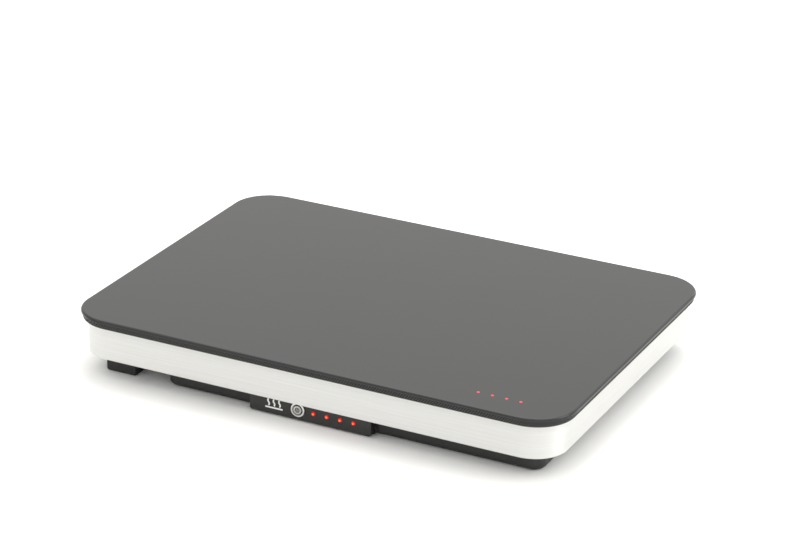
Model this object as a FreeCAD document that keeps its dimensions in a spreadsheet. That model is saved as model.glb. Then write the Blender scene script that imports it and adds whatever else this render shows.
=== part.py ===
"""Counter-top induction hob: a black glass plate on a brushed steel skirt, with its works below.

Frame: millimetres, +X to the right along the front, +Y to the back, +Z up.
The origin is on the surface that the hob stands on, under the middle of the glass.
"""
import FreeCAD, Part
import math
import os

import Sketcher
from FreeCAD import Vector

# Every driving size: its name, its value in millimetres (or a plain count) and what it is.
SIZES = [
    ("glass_length", 620.0, "glass plate, left to right"),
    ("glass_width", 453.4, "glass plate, front to back"),
    ("glass_thickness", 4.0, "glass plate"),
    ("glass_corner_radius", 50.0, "glass plate, in plan"),
    ("glass_edge_radius", 2.9, "polished round along the top edge of the glass"),
    ("glass_under_arris", 0.4, "bevel round the underside of the glass"),
    ("total_height", 77.6, "floor to the top of the glass"),
    ("seal_thickness", 0.6, "silicone bead under the glass"),
    ("seal_inset", 4.0, "bead, in from the edge of the glass"),
    ("seal_width", 10.0, "bead"),
    ("frame_thickness", 6.8, "moulded frame under the glass"),
    ("frame_inset", 2.2, "frame, in from the edge of the glass"),
    ("frame_ledge", 30.0, "frame, in from the skirt to its opening"),
    ("frame_edge_radius", 2.5, "round on the frame's lower edge"),
    ("frame_hole_depth", 5.0, "blind screw holes in the frame"),
    ("skirt_inset", 8.8, "skirt, in from the edge of the glass"),
    ("skirt_bottom", 25.5, "lower edge of the skirt above the floor"),
    ("skirt_bend_radius", 1.5, "outside of the bends along the skirt's edges"),
    ("flange_width", 12.0, "flanges turned in along the skirt's edges"),
    ("sheet_thickness", 1.2, "skirt and base pan"),
    ("skirt_screw_inset", 7.0, "screws, in from the outside of the skirt"),
    ("skirt_screw_end_gap", 80.0, "outer screws of a long side, from the skirt's end"),
    ("skirt_screw_middle", 112.0, "inner screws of a long side, from the middle"),
    ("skirt_screw_side", 105.0, "screws of a short side, from the middle"),
    ("screw_head_height", 2.0, "pan heads of the small screws"),
    ("screw_head_radius", 0.6, "round on a screw's head"),
    ("screw_socket_share", 0.4, "hexagon socket across flats, as a share of the head's diameter"),
    ("screw_socket_depth", 1.2, "hexagon socket"),
    ("skirt_screw_shank", 3.0, "diameter"),
    ("skirt_screw_head", 5.6, "diameter"),
    ("base_screw_shank", 3.8, "diameter"),
    ("base_screw_head", 7.0, "diameter"),
    ("base_screw_length", 5.0, "shank"),
    ("screw_clearance", 0.4, "clearance holes, on diameter"),
    ("thread_gap", 0.1, "threaded holes, on diameter"),
    ("pan_gap", 0.4, "base pan inside the skirt"),
    ("tub_left_inset", 106.7, "tub, in from the left of the skirt"),
    ("tub_right_inset", 22.6, "tub, in from the right of the skirt"),
    ("tub_side_inset", 22.5, "tub, in from the front and the back of the skirt"),
    ("tub_bottom", 1.0, "underside of the tub above the floor"),
    ("tub_wall", 2.5, "tub walls, floor and rim"),
    ("tub_corner_radius", 15.0, "tub, in plan"),
    ("tub_edge_radius", 5.0, "round along the tub's lower edge"),
    ("tub_rim", 8.0, "rim that rests on the base pan"),
    ("tub_gap", 0.5, "tub in the opening of the base pan"),
    ("tub_screw_end_gap", 40.0, "rim screws, from the ends of the tub"),
    ("tub_screw_side", 100.0, "rim screws of the short sides, from the middle"),
    ("tub_screw_shank", 2.9, "diameter"),
    ("tub_screw_head", 5.5, "diameter"),
    ("tub_screw_length", 4.5, "shank"),
    ("vent_width", 3.0, "exhaust slots"),
    ("vent_pitch", 7.0, "exhaust slots"),
    ("vent_low", 8.0, "exhaust slots, lower end"),
    ("vent_high", 22.0, "exhaust slots, upper end"),
    ("vent_count", 12, "exhaust slots in a row"),
    ("rear_vent_start", 30.0, "first rear slot, right of the middle"),
    ("pad_diameter", 22.0, "rubber pads under the tub"),
    ("pad_gap", 0.2, "pads in their recesses"),
    ("pad_recess", 1.0, "depth of the pads' recesses"),
    ("pad_inset", 25.0, "pad centres, in from the tub's right and side walls"),
    ("foot_length", 40.0, "square rubber feet"),
    ("foot_corner_radius", 3.5, "feet, in plan"),
    ("foot_edge_radius", 3.0, "round along the lower edge of a foot"),
    ("foot_left_inset", 26.0, "feet, in from the left of the skirt"),
    ("foot_side_inset", 24.0, "feet, in from the front and the back of the skirt"),
    ("foot_recess", 14.0, "diameter of the screw recess"),
    ("foot_recess_depth", 12.0, "screw recess"),
    ("foot_screw_shank", 4.8, "diameter"),
    ("foot_screw_head", 11.0, "diameter"),
    ("foot_screw_head_height", 3.0, "screw head"),
    ("foot_nut_width", 8.0, "across flats"),
    ("foot_nut_height", 4.0, "nut"),
    ("box_width", 154.0, "control box"),
    ("box_inset", 11.0, "face of the control box, in from the skirt"),
    ("box_bottom", 1.8, "underside of the control box above the floor"),
    ("box_top_gap", 0.5, "control box under the skirt"),
    ("box_corner_radius", 3.0, "control box"),
    ("box_face_radius", 0.8, "round about the face"),
    ("box_face", 2.0, "wall behind the face"),
    ("box_lip", 2.0, "lip against the tub, thickness and overhang"),
    ("box_lip_drop", 0.4, "lip, above and below the box"),
    ("spigot_width", 136.0, "rear spigot of the control box"),
    ("spigot_bottom", 4.0, "spigot above the floor"),
    ("spigot_drop", 0.3, "top of the spigot below the top of the box"),
    ("spigot_length", 24.0, "spigot behind the tub's front"),
    ("spigot_wall", 1.2, "spigot"),
    ("spigot_gap", 0.3, "spigot in the tub's wall"),
    ("box_screw_x", 72.5, "control box screws, from the middle"),
    ("box_screw_z", 13.6, "control box screws above the floor"),
    ("box_screw_depth", 7.0, "screws in the control box"),
    ("badge_x", -45.5, "middle of the pictogram"),
    ("badge_z", 8.6, "lower edge of the pictogram"),
    ("badge_width", 22.0, "hotplate bar of the pictogram"),
    ("badge_line", 1.8, "line width of the pictogram"),
    ("badge_pitch", 7.0, "between the pictogram's waves"),
    ("badge_bow", 2.9, "radius of each bow of a wave"),
    ("badge_gap", 1.4, "between the bar and the waves"),
    ("badge_thickness", 0.3, "printed pictogram"),
    ("lamp_first_x", 4.8, "first indicator lamp"),
    ("lamp_pitch", 16.8, "between indicator lamps"),
    ("lamp_count", 4, "indicator lamps"),
    ("lamp_z", 13.8, "indicator lamps above the floor"),
    ("lamp_diameter", 4.8, "indicator lamps"),
    ("lamp_gap", 0.2, "lamps in their holes, on diameter"),
    ("lamp_reach", 1.8, "lamp domes in front of the face"),
    ("lamp_flange", 5.8, "diameter"),
    ("lamp_flange_height", 1.0, "flange behind the face"),
    ("lamp_leg", 0.6, "diameter of the lamps' legs"),
    ("lamp_leg_pitch", 2.54, "between a lamp's legs"),
    ("control_board_depth", 9.0, "control board behind the face"),
    ("board_thickness", 1.6, "circuit boards"),
    ("control_board_left", -3.0, "control board"),
    ("control_board_right", 64.0, "control board"),
    ("control_board_gap", 0.6, "control board, above and below"),
    ("switch_x", -14.4, "power switch"),
    ("switch_z", 15.0, "power switch above the floor"),
    ("bezel_ledge", 1.45, "bezel past the barrel"),
    ("bezel_height", 2.2, "power switch"),
    ("bezel_radius", 0.8, "round on the bezel's rim"),
    ("bezel_well_width", 1.2, "well round the button"),
    ("bezel_well_depth", 1.2, "well round the button"),
    ("switch_seal_thickness", 0.5, "gasket under the bezel"),
    ("barrel_wall", 0.8, "threaded barrel of the switch"),
    ("barrel_length", 14.0, "barrel behind the face"),
    ("barrel_step", 1.0, "rear bore of the barrel past the button"),
    ("barrel_shoulder", 4.0, "step in the bore, behind the face"),
    ("button_diameter", 11.0, "power button"),
    ("button_gap", 0.1, "radial gap about the button"),
    ("button_reach", 2.8, "button in front of the face"),
    ("button_edge_radius", 0.5, "round on the button"),
    ("button_flange_gap", 0.2, "radial gap about the button's flange"),
    ("button_flange_height", 1.2, "button"),
    ("button_stem", 5.0, "diameter"),
    ("button_travel", 1.5, "power button"),
    ("contact_depth", 12.0, "front of the contact block behind the face"),
    ("contact_length", 10.0, "contact block"),
    ("contact_pin_length", 5.0, "terminals of the contact block"),
    ("switch_nut_ring", 0.9, "round nut past the barrel"),
    ("switch_nut_height", 3.0, "round nut"),
    ("spring_wire", 0.7, "return spring"),
    ("spring_radius", 4.3, "return spring, to the middle of its wire"),
    ("spring_turns", 4, "return spring"),
    ("deck_gap", 14.2, "coil deck below the frame"),
    ("deck_thickness", 2.0, "coil deck"),
    ("deck_inset", 18.0, "coil deck, in from the skirt"),
    ("standoff_inset", 24.0, "deck standoffs, in from the skirt"),
    ("standoff_end_gap", 36.0, "outer standoffs, from the skirt's end"),
    ("standoff_middle", 85.0, "inner standoffs, from the middle"),
    ("standoff_diameter", 7.0, "deck standoffs"),
    ("standoff_stud", 3.0, "studs at both ends of a standoff"),
    ("standoff_stud_length", 4.6, "upper stud"),
    ("deck_nut_width", 5.5, "across flats"),
    ("deck_nut_height", 2.4, "nuts under the deck"),
    ("mica_thickness", 1.0, "insulating disc over a coil"),
    ("carrier_side_gap", 27.2, "coil carriers, in from the frame's opening"),
    ("carrier_middle_gap", 72.0, "between the two coil carriers"),
    ("carrier_rim", 3.0, "raised rim of the carrier"),
    ("carrier_web", 1.2, "floor between coil and ferrites"),
    ("carrier_hub", 16.0, "radius of the carrier's middle boss"),
    ("coil_bore", 24.0, "inner radius of the winding"),
    ("coil_wire", 4.0, "litz wire"),
    ("coil_turn_gap", 0.5, "between turns"),
    ("coil_air", 0.3, "above and below the winding"),
    ("coil_bend", 6.0, "radius of the bends in the leads"),
    ("coil_lead_drop", 4.6, "leads below the deck"),
    ("lead_hole", 7.0, "holes for the leads in the deck"),
    ("carrier_lead_hole", 12.0, "holes for the leads in a carrier"),
    ("ferrite_width", 9.6, "ferrite bars"),
    ("ferrite_height", 3.0, "ferrite bars"),
    ("ferrite_gap", 0.2, "bars in their slots"),
    ("ferrite_start", 32.0, "inner end of the bars, from the middle"),
    ("ferrite_end_gap", 8.0, "outer end of the bars, in from the carrier's edge"),
    ("ferrite_count", 8, "bars under a coil"),
    ("sensor_diameter", 8.0, "glass temperature sensor"),
    ("sensor_height", 9.0, "glass temperature sensor"),
    ("sensor_gap", 0.5, "sensor in the carrier"),
    ("bumper_diameter", 12.0, "silicone bumpers under a carrier"),
    ("bumper_radius", 60.0, "bumpers, from the middle of a coil"),
    ("zone_right_inset", 52.3, "last lamp under the glass, in from the skirt"),
    ("zone_pitch", 17.0, "between lamps under the glass"),
    ("zone_count", 4, "lamps under the glass"),
    ("zone_front_inset", 28.6, "lamps under the glass, in from the skirt"),
    ("zone_lamp", 3.0, "diameter"),
    ("zone_lamp_height", 2.8, "lamps under the glass"),
    ("zone_board_width", 9.0, "strip under the zone lamps"),
    ("zone_board_margin", 7.0, "strip past its end lamps"),
    ("zone_air", 0.6, "between the zone lamps and the glass"),
    ("zone_notch_gap", 1.5, "notch in the frame, round the strip of the zone lamps"),
    ("zone_leg", 3.0, "legs of the lamp bridge"),
    ("board_left_gap", 39.5, "power board, in from the tub's left wall"),
    ("board_length", 300.0, "power board"),
    ("board_width", 220.0, "power board"),
    ("board_lift", 4.5, "bosses under the power board"),
    ("board_boss", 8.0, "diameter"),
    ("board_screw_inset", 8.0, "power board screws, in from its edges"),
    ("board_screw_shank", 2.9, "diameter"),
    ("board_screw_head", 5.5, "diameter"),
    ("sink_start", 34.0, "heat sink, in from the left of the board"),
    ("sink_length", 150.0, "heat sink"),
    ("sink_width", 74.0, "heat sink"),
    ("sink_base", 5.0, "base of the heat sink"),
    ("sink_fin", 1.6, "fins"),
    ("sink_fin_count", 12, "fins"),
    ("sink_leg", 2.5, "legs of the heat sink"),
    ("sink_roof_gap", 8.0, "heat sink below the deck"),
    ("chip_height", 5.0, "packages under the heat sink"),
    ("transistor_length", 21.0, "power transistors"),
    ("transistor_width", 16.0, "power transistors"),
    ("transistor_pitch", 28.0, "between power transistors"),
    ("transistor_count", 4, "power transistors"),
    ("rectifier_length", 30.0, "bridge rectifier"),
    ("rectifier_width", 20.0, "bridge rectifier"),
    ("chip_margin", 8.0, "first package, in from the heat sink's end"),
    ("capacitor_length", 32.0, "film capacitors"),
    ("capacitor_width", 16.0, "film capacitors"),
    ("capacitor_height", 26.0, "film capacitors"),
    ("capacitor_gap", 8.0, "between film capacitors"),
    ("filter_start", 84.0, "filter capacitors, in from the right of the board"),
    ("choke_outer", 40.0, "filter choke"),
    ("choke_inner", 18.0, "filter choke"),
    ("choke_height", 16.0, "filter choke"),
    ("terminal_length", 36.0, "mains terminal block"),
    ("terminal_width", 16.0, "mains terminal block"),
    ("terminal_height", 14.0, "mains terminal block"),
    ("terminal_bore", 5.0, "wire holes"),
    ("terminal_pitch", 10.0, "wire holes"),
    ("terminal_left_gap", 10.0, "terminal block, in from the left of the board"),
    ("part_edge_gap", 6.0, "parts, in from the edges of the power board"),
    ("post_diameter", 5.0, "posts that the coil leads drop on"),
    ("post_height", 3.0, "posts that the coil leads drop on"),
    ("post_pitch", 20.0, "between a coil's two posts"),
    ("left_posts", 60.0, "left coil's first post, in from the left of the board"),
    ("right_posts", 90.0, "right coil's last post, in from the right of the board"),
    ("post_edge_gap", 22.0, "posts, in from the back of the board"),
    ("ribbon_width", 12.0, "flat cable"),
    ("ribbon_thickness", 1.0, "flat cable"),
    ("ribbon_x", 50.0, "flat cable"),
    ("ribbon_bend", 6.0, "bends of the flat cable"),
    ("ribbon_rise", 12.0, "top of the flat cable's loop above the power board"),
    ("header_length", 16.0, "sockets for the flat cable"),
    ("header_width", 5.0, "sockets for the flat cable"),
    ("header_height", 6.0, "sockets for the flat cable"),
    ("blower_inset", 50.5, "axis of the blower, in from the left of the skirt"),
    ("blower_radius", 43.0, "blower housing"),
    ("blower_wall", 1.5, "blower housing"),
    ("blower_outlet_reach", 46.0, "outlet, from the blower's axis"),
    ("blower_outlet_width", 40.0, "outlet of the blower"),
    ("blower_roof_gap", 1.6, "blower below the deck"),
    ("blower_cover", 1.5, "top plate of the blower"),
    ("intake_diameter", 52.0, "intake of the blower"),
    ("intake_slot", 3.4, "slots of the intake grille"),
    ("intake_pitch", 6.4, "slots of the intake grille"),
    ("intake_count", 7, "slots of the intake grille"),
    ("intake_slot_length", 40.0, "slots of the intake grille"),
    ("rotor_radius", 32.0, "blower rotor"),
    ("rotor_end_gap", 1.5, "rotor above and below"),
    ("rotor_disc", 1.2, "back plate of the rotor"),
    ("rotor_blade_start", 25.0, "inner end of the blades"),
    ("rotor_blade", 1.0, "thickness of the blades"),
    ("rotor_blade_count", 24, "blades"),
    ("rotor_hub", 15.0, "radius of the rotor's hub cup"),
    ("rotor_hub_wall", 1.4, "hub cup"),
    ("rotor_boss", 3.0, "radius of the boss about the shaft"),
    ("stator_radius", 12.8, "motor stator"),
    ("stator_height", 7.0, "motor stator"),
    ("stator_bore", 4.0, "radius of the stator's middle"),
    ("shaft_diameter", 3.0, "motor shaft"),
    ("shaft_gap", 0.04, "radial running gap about the shaft"),
    ("blower_lug", 36.0, "blower screws, from the axis, along both sides"),
    ("blower_screw_shank", 2.9, "diameter"),
    ("blower_screw_head", 5.5, "diameter"),
    ("blower_lug_radius", 5.0, "lugs of the blower housing"),
    ("lead_diameter", 3.0, "blower lead"),
    ("lead_bend", 8.0, "bends of the blower lead"),
    ("gland_left_inset", 59.5, "cable gland, in from the left of the tub"),
    ("gland_z", 14.5, "cable gland above the floor"),
    ("gland_flats", 19.0, "across flats"),
    ("gland_thread", 15.8, "diameter of the wall thread"),
    ("gland_hole_gap", 0.4, "gland in the tub's wall, on diameter"),
    ("gland_flange", 4.0, "hexagon of the gland's body"),
    ("gland_tail", 9.0, "wall thread behind the wall's outer face"),
    ("gland_bore", 9.2, "cable hole, diameter"),
    ("gland_lock_nut_height", 4.0, "lock nut"),
    ("gland_nose", 12.0, "outer thread in front of the hexagon"),
    ("gland_nose_diameter", 15.2, "outer thread"),
    ("gland_dome_length", 15.6, "dome nut"),
    ("gland_dome_gap", 0.3, "dome nut from the hexagon"),
    ("gland_dome_radius", 4.0, "round on the dome nut"),
    ("gland_dome_flats", 8.0, "hexagon of the dome nut"),
]


class Size:
    """A number together with the spreadsheet expression that it comes from."""

    def __init__(self, value, text):
        self.value = value
        self.text = text

    def __add__(self, other):
        other = as_size(other)
        return Size(self.value + other.value, f"({self.text} + {other.text})")

    def __sub__(self, other):
        other = as_size(other)
        return Size(self.value - other.value, f"({self.text} - {other.text})")

    def __mul__(self, other):
        other = as_size(other)
        return Size(self.value * other.value, f"({self.text} * {other.text})")

    def __truediv__(self, other):
        other = as_size(other)
        return Size(self.value / other.value, f"({self.text} / {other.text})")

    def __radd__(self, other):
        return as_size(other) + self

    def __rsub__(self, other):
        return as_size(other) - self

    def __rmul__(self, other):
        return as_size(other) * self

    def __neg__(self):
        return as_size(0) - self


def as_size(number):
    return number if isinstance(number, Size) else Size(float(number), repr(float(number)))


class SizeSheet:
    """The spreadsheet of driving sizes, read as size.name."""

    def __init__(self, document, table):
        cells = document.addObject("Spreadsheet::Sheet", "Sizes")
        for row, (alias, value, meaning) in enumerate(table, start=1):
            cells.set(f"A{row}", meaning)
            cells.set(f"B{row}", str(value))
            cells.setAlias(f"B{row}", alias)
        document.recompute()
        for alias, _, _ in table:
            setattr(self, alias, Size(float(cells.get(alias)), f"Sizes.{alias}"))


document = FreeCAD.newDocument("induction_hob")
size = SizeSheet(document, SIZES)
pieces = []

# ---------------------------------------------------------------------------
# Outlines: each is a function that draws on a sketch and dimensions what it drew
# ---------------------------------------------------------------------------
PLANES = {"XY": ("XY_Plane", 1), "XZ": ("XZ_Plane", -1), "YZ": ("YZ_Plane", 1)}
ORIGIN = (-1, 1)


def dimension(sketch, kind, ends, length):
    """One driving dimension, bound to the spreadsheet."""
    length = as_size(length)
    index = sketch.addConstraint(Sketcher.Constraint(kind, *ends, length.value))
    sketch.setExpression(f"Constraints[{index}]", length.text)


def place_point(sketch, geometry, point, x, y):
    dimension(sketch, "DistanceX", (*ORIGIN, geometry, point), x)
    dimension(sketch, "DistanceY", (*ORIGIN, geometry, point), y)


def circles(points, diameter):
    """Equal circles at a list of (x, y) centres."""
    def draw(sketch):
        for x, y in points:
            centre = Vector(as_size(x).value, as_size(y).value, 0)
            ring = sketch.addGeometry(Part.Circle(centre, Vector(0, 0, 1), as_size(diameter).value / 2))
            place_point(sketch, ring, 3, x, y)
            dimension(sketch, "Diameter", (ring,), diameter)
    return draw


def polygon(corners):
    """A closed outline of straight sides through the given (x, y) corners."""
    def draw(sketch):
        points = [Vector(as_size(x).value, as_size(y).value, 0) for x, y in corners]
        sides = [sketch.addGeometry(Part.LineSegment(points[i - 1], points[i])) for i in range(len(points))]
        for i, side in enumerate(sides):
            following = sides[(i + 1) % len(sides)]
            sketch.addConstraint(Sketcher.Constraint("Coincident", side, 2, following, 1))
            place_point(sketch, side, 2, *corners[i])
    return draw


def box(left, right, low, high):
    """A rectangle between two x and two y values."""
    return polygon([(left, low), (right, low), (right, high), (left, high)])


def boxes(corners):
    """Rectangles, each given as (left, right, low, high)."""
    def draw(sketch):
        for sides in corners:
            box(*sides)(sketch)
    return draw


def hexagon(x, y, across_flats):
    """A regular hexagon with flats above and below."""
    half = as_size(across_flats) / 2
    reach = half * (2 / math.sqrt(3))
    return polygon([
        (x + reach, y), (x + reach / 2, y + half), (x - reach / 2, y + half),
        (x - reach, y), (x - reach / 2, y - half), (x + reach / 2, y - half),
    ])


def rounded(left, right, low, high, radius):
    """A rectangle with four equal round corners."""
    def draw(sketch):
        x = [as_size(left).value, as_size(right).value]
        y = [as_size(low).value, as_size(high).value]
        r = as_size(radius).value
        centres = [(x[1] - r, y[0] + r, -90), (x[1] - r, y[1] - r, 0),
                   (x[0] + r, y[1] - r, 90), (x[0] + r, y[0] + r, 180)]
        arcs = []
        for cx, cy, start in centres:
            turn = math.radians(start)
            circle = Part.Circle(Vector(cx, cy, 0), Vector(0, 0, 1), r)
            arcs.append(sketch.addGeometry(Part.ArcOfCircle(circle, turn, turn + math.pi / 2)))
        ends = [(sketch.getPoint(arc, 2), sketch.getPoint(arc, 1)) for arc in arcs]
        sides = []
        for i in range(4):
            sides.append(sketch.addGeometry(Part.LineSegment(ends[i][0], ends[(i + 1) % 4][1])))
        for i in range(4):
            sketch.addConstraint(Sketcher.Constraint("Tangent", arcs[i], 2, sides[i], 1))
            sketch.addConstraint(Sketcher.Constraint("Tangent", sides[i], 2, arcs[(i + 1) % 4], 1))
            sketch.addConstraint(Sketcher.Constraint("Horizontal" if i % 2 else "Vertical", sides[i]))
            if i:
                sketch.addConstraint(Sketcher.Constraint("Equal", arcs[0], arcs[i]))
        dimension(sketch, "Radius", (arcs[0],), radius)
        dimension(sketch, "DistanceX", (*ORIGIN, sides[0], 1), right)
        dimension(sketch, "DistanceY", (*ORIGIN, sides[1], 1), high)
        dimension(sketch, "DistanceX", (*ORIGIN, sides[2], 1), left)
        dimension(sketch, "DistanceY", (*ORIGIN, sides[3], 1), low)
    return draw


def footprint(inset):
    """The plan outline of the hob, drawn in from the edge of the glass."""
    half_x = size.glass_length / 2 - inset
    half_y = size.glass_width / 2 - inset
    return rounded(-half_x, half_x, -half_y, half_y, size.glass_corner_radius - inset)


# ---------------------------------------------------------------------------
# Features: pads, cuts, turned shapes and softened edges
# ---------------------------------------------------------------------------
def new_body(label):
    body = document.addObject("PartDesign::Body", label)
    body.Label = label
    pieces.append(body)
    return body


def bind(target, name, value):
    target.setExpression(name, as_size(value).text)


def sketch_at(body, plane, level, outlines):
    """A sketch parallel to one of the body's own planes, at a level along its axis."""
    role, side = PLANES[plane]
    sketch = body.newObject("Sketcher::SketchObject", "Sketch")
    sketch.AttachmentSupport = [(next(f for f in body.Origin.OriginFeatures if f.Role == role), "")]
    sketch.MapMode = "FlatFace"
    bind(sketch, "AttachmentOffset.Base.z", side * as_size(level))
    for outline in outlines:
        outline(sketch)
    return sketch


def pad(body, plane, low, high, *outlines):
    """Material between two levels along the plane's axis."""
    feature = body.newObject("PartDesign::Pad", "Pad")
    feature.Profile = sketch_at(body, plane, low, outlines)
    feature.Reversed = PLANES[plane][1] < 0
    bind(feature, "Length", as_size(high) - low)
    body.Tip = feature
    return feature


def cut(body, plane, low, high, *outlines):
    """Material taken away between two levels along the plane's axis."""
    document.recompute()
    before = body.Shape.Volume
    feature = body.newObject("PartDesign::Pocket", "Pocket")
    feature.Profile = sketch_at(body, plane, low, outlines)
    feature.Reversed = PLANES[plane][1] > 0
    bind(feature, "Length", as_size(high) - low)
    body.Tip = feature
    document.recompute()
    if body.Shape.Volume >= before:
        raise ValueError(f"a cut in {body.Label} takes nothing away")
    return feature


def repeat(body, feature, axis, count, length):
    """Equal copies of a feature in a row, the last one a length away from the first."""
    pattern = body.newObject("PartDesign::LinearPattern", "Row")
    pattern.Originals = [feature]
    pattern.Direction = (feature.Profile[0], [axis])
    bind(pattern, "Length", length)
    bind(pattern, "Occurrences", count)
    body.Tip = pattern
    return pattern


def turned(label, plane, corners):
    """A turned piece: a profile of (radius, height) corners about the plane's upright axis."""
    body = new_body(label)
    feature = body.newObject("PartDesign::Revolution", "Turn")
    feature.Profile = sketch_at(body, plane, 0, [polygon(corners)])
    feature.ReferenceAxis = (feature.Profile[0], ["V_Axis"])
    feature.Angle = 360
    body.Tip = feature
    return body


def soften(body, kind, amount, chosen):
    """Fillet or chamfer the edges that chosen(edge) picks."""
    document.recompute()
    base = body.Tip
    names = [f"Edge{i}" for i, edge in enumerate(base.Shape.Edges, start=1) if chosen(edge)]
    feature = body.newObject(f"PartDesign::{kind}", kind)
    feature.Base = (base, names)
    bind(feature, "Radius" if kind == "Fillet" else "Size", amount)
    body.Tip = feature
    return feature


def lies_at(axis, level):
    """Picks the edges that lie wholly at one level along X, Y or Z."""
    level = as_size(level).value

    def chosen(edge):
        limits = edge.BoundBox
        low, high = getattr(limits, f"{axis}Min"), getattr(limits, f"{axis}Max")
        return abs(low - level) < 1e-4 and abs(high - level) < 1e-4
    return chosen


def move(piece, x=0, y=0, z=0):
    bind(piece, "Placement.Base.x", x)
    bind(piece, "Placement.Base.y", y)
    bind(piece, "Placement.Base.z", z)


def in_order(one, other):
    """Two levels, the lower one first."""
    return (one, other) if as_size(one).value < as_size(other).value else (other, one)


def screws(label, plane, seat, way, points, shank, length, head, head_height=None):
    """Socket screws in one node: round-edged heads on the seat, shanks the given way from it (+1 or -1)."""
    head_height = head_height or size.screw_head_height
    crown, tip = seat - head_height * way, seat + length * way
    socket_floor = crown + size.screw_socket_depth * way
    body = new_body(label)
    pad(body, plane, *in_order(crown, seat), circles(points, head))
    soften(body, "Fillet", size.screw_head_radius, lies_at("Y" if plane == "XZ" else "Z", crown))
    pad(body, plane, *in_order(seat, tip), circles(points, shank))
    sockets = [hexagon(x, y, head * size.screw_socket_share) for x, y in points]
    cut(body, plane, *in_order(crown, socket_floor), *sockets)
    return body


def shaped(label, shape):
    """A piece whose form comes from Part's own functions."""
    piece = document.addObject("Part::Feature", label)
    piece.Label = label
    piece.Shape = shape
    pieces.append(piece)
    return piece


def bent_wire(points, bend):
    """Straight runs through the points, joined by arcs tangent to both. Arcs may meet with no run."""
    edges, start = [], points[0]

    def run_to(end):
        if not start.isEqual(end, 1e-6):
            edges.append(Part.LineSegment(start, end).toShape())
    for before, corner, after in zip(points, points[1:], points[2:]):
        incoming, outgoing = (before - corner).normalize(), (after - corner).normalize()
        half = incoming.getAngle(outgoing) / 2
        reach = bend / math.tan(half)
        middle = (incoming + outgoing).normalize() * (bend / math.sin(half) - bend)
        first, last = corner + incoming * reach, corner + outgoing * reach
        run_to(first)
        edges.append(Part.Arc(first, corner + middle, last).toShape())
        start = last
    run_to(points[-1])
    return edges


def tube(edges, diameter):
    """A round bar swept along connected edges."""
    path = Part.Wire(edges)
    first = path.OrderedEdges[0]
    start = first.FirstParameter
    circle = Part.Circle(first.valueAt(start), first.tangentAt(start), diameter / 2)
    return path.makePipeShell([Part.Wire([circle.toShape()])], True, False)


# ---------------------------------------------------------------------------
# Levels and lines that several pieces share
# ---------------------------------------------------------------------------
glass_low = size.total_height - size.glass_thickness
seal_low = glass_low - size.seal_thickness
frame_low = seal_low - size.frame_thickness
skirt_x = size.glass_length / 2 - size.skirt_inset
skirt_y = size.glass_width / 2 - size.skirt_inset
skirt_floor = size.skirt_bottom + size.sheet_thickness
skirt_roof = frame_low - size.sheet_thickness
pan_high = skirt_floor + size.sheet_thickness
deck_high = frame_low - size.deck_gap
deck_low = deck_high - size.deck_thickness

tub_left = -skirt_x + size.tub_left_inset
tub_right = skirt_x - size.tub_right_inset
tub_back = skirt_y - size.tub_side_inset
tub_front = -tub_back
tub_floor = size.tub_bottom + size.tub_wall
rim_high = pan_high + size.tub_wall

board_low = tub_floor + size.board_lift
board_high = board_low + size.board_thickness
board_left = tub_left + size.tub_wall + size.board_left_gap
board_right = board_left + size.board_length
board_half = size.board_width / 2

box_face = -skirt_y + size.box_inset
box_top = size.skirt_bottom - size.box_top_gap
spigot_top = box_top - size.spigot_drop
spigot_back = tub_front + size.spigot_length
barrel_bore = size.button_diameter + 2 * size.barrel_step
barrel_diameter = barrel_bore + 2 * size.barrel_wall
bezel_diameter = barrel_diameter + 2 * size.bezel_ledge
gland_x = tub_left + size.gland_left_inset

carrier_edge = skirt_x - size.frame_ledge - size.carrier_side_gap
carrier_radius = (carrier_edge - size.carrier_middle_gap / 2) / 2
coil_x = carrier_edge - carrier_radius
carrier_high = glass_low - size.mica_thickness
wire_z = carrier_high - size.coil_air - size.coil_wire / 2
recess_low = wire_z - size.coil_wire / 2 - size.coil_air
slot_high = recess_low - size.carrier_web
carrier_low = slot_high - size.ferrite_gap - size.ferrite_height
coil_pitch = size.coil_wire + size.coil_turn_gap
turn_room = carrier_radius - size.carrier_rim - size.coil_wire - size.coil_bore
coil_turns = int(turn_room.value / coil_pitch.value)
coil_end = size.coil_bore + coil_pitch * coil_turns

blower_x = -skirt_x + size.blower_inset
blower_high = deck_low - size.blower_roof_gap


def mirrored(x, y):
    """Four points, mirrored left to right and front to back."""
    return [(x, y), (-x, y), (-x, -y), (x, -y)]


# ---------------------------------------------------------------------------
# Glass, silicone bead and frame
# ---------------------------------------------------------------------------
def make_glass():
    body = new_body("glass_top")
    pad(body, "XY", glass_low, size.total_height, footprint(0))
    soften(body, "Fillet", size.glass_edge_radius, lies_at("Z", size.total_height))
    soften(body, "Chamfer", size.glass_under_arris, lies_at("Z", glass_low))


def make_glass_seal():
    body = new_body("glass_seal")
    pad(body, "XY", seal_low, glass_low, footprint(size.seal_inset))
    cut(body, "XY", seal_low, glass_low, footprint(size.seal_inset + size.seal_width))


def skirt_screw_points():
    """Screws that run round the skirt's flanges."""
    x, y = skirt_x - size.skirt_screw_inset, skirt_y - size.skirt_screw_inset
    return (mirrored(skirt_x - size.skirt_screw_end_gap, y) + mirrored(size.skirt_screw_middle, y)
            + mirrored(x, size.skirt_screw_side))


def standoff_points():
    y = skirt_y - size.standoff_inset
    return mirrored(skirt_x - size.standoff_end_gap, y) + mirrored(size.standoff_middle, y)


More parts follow.
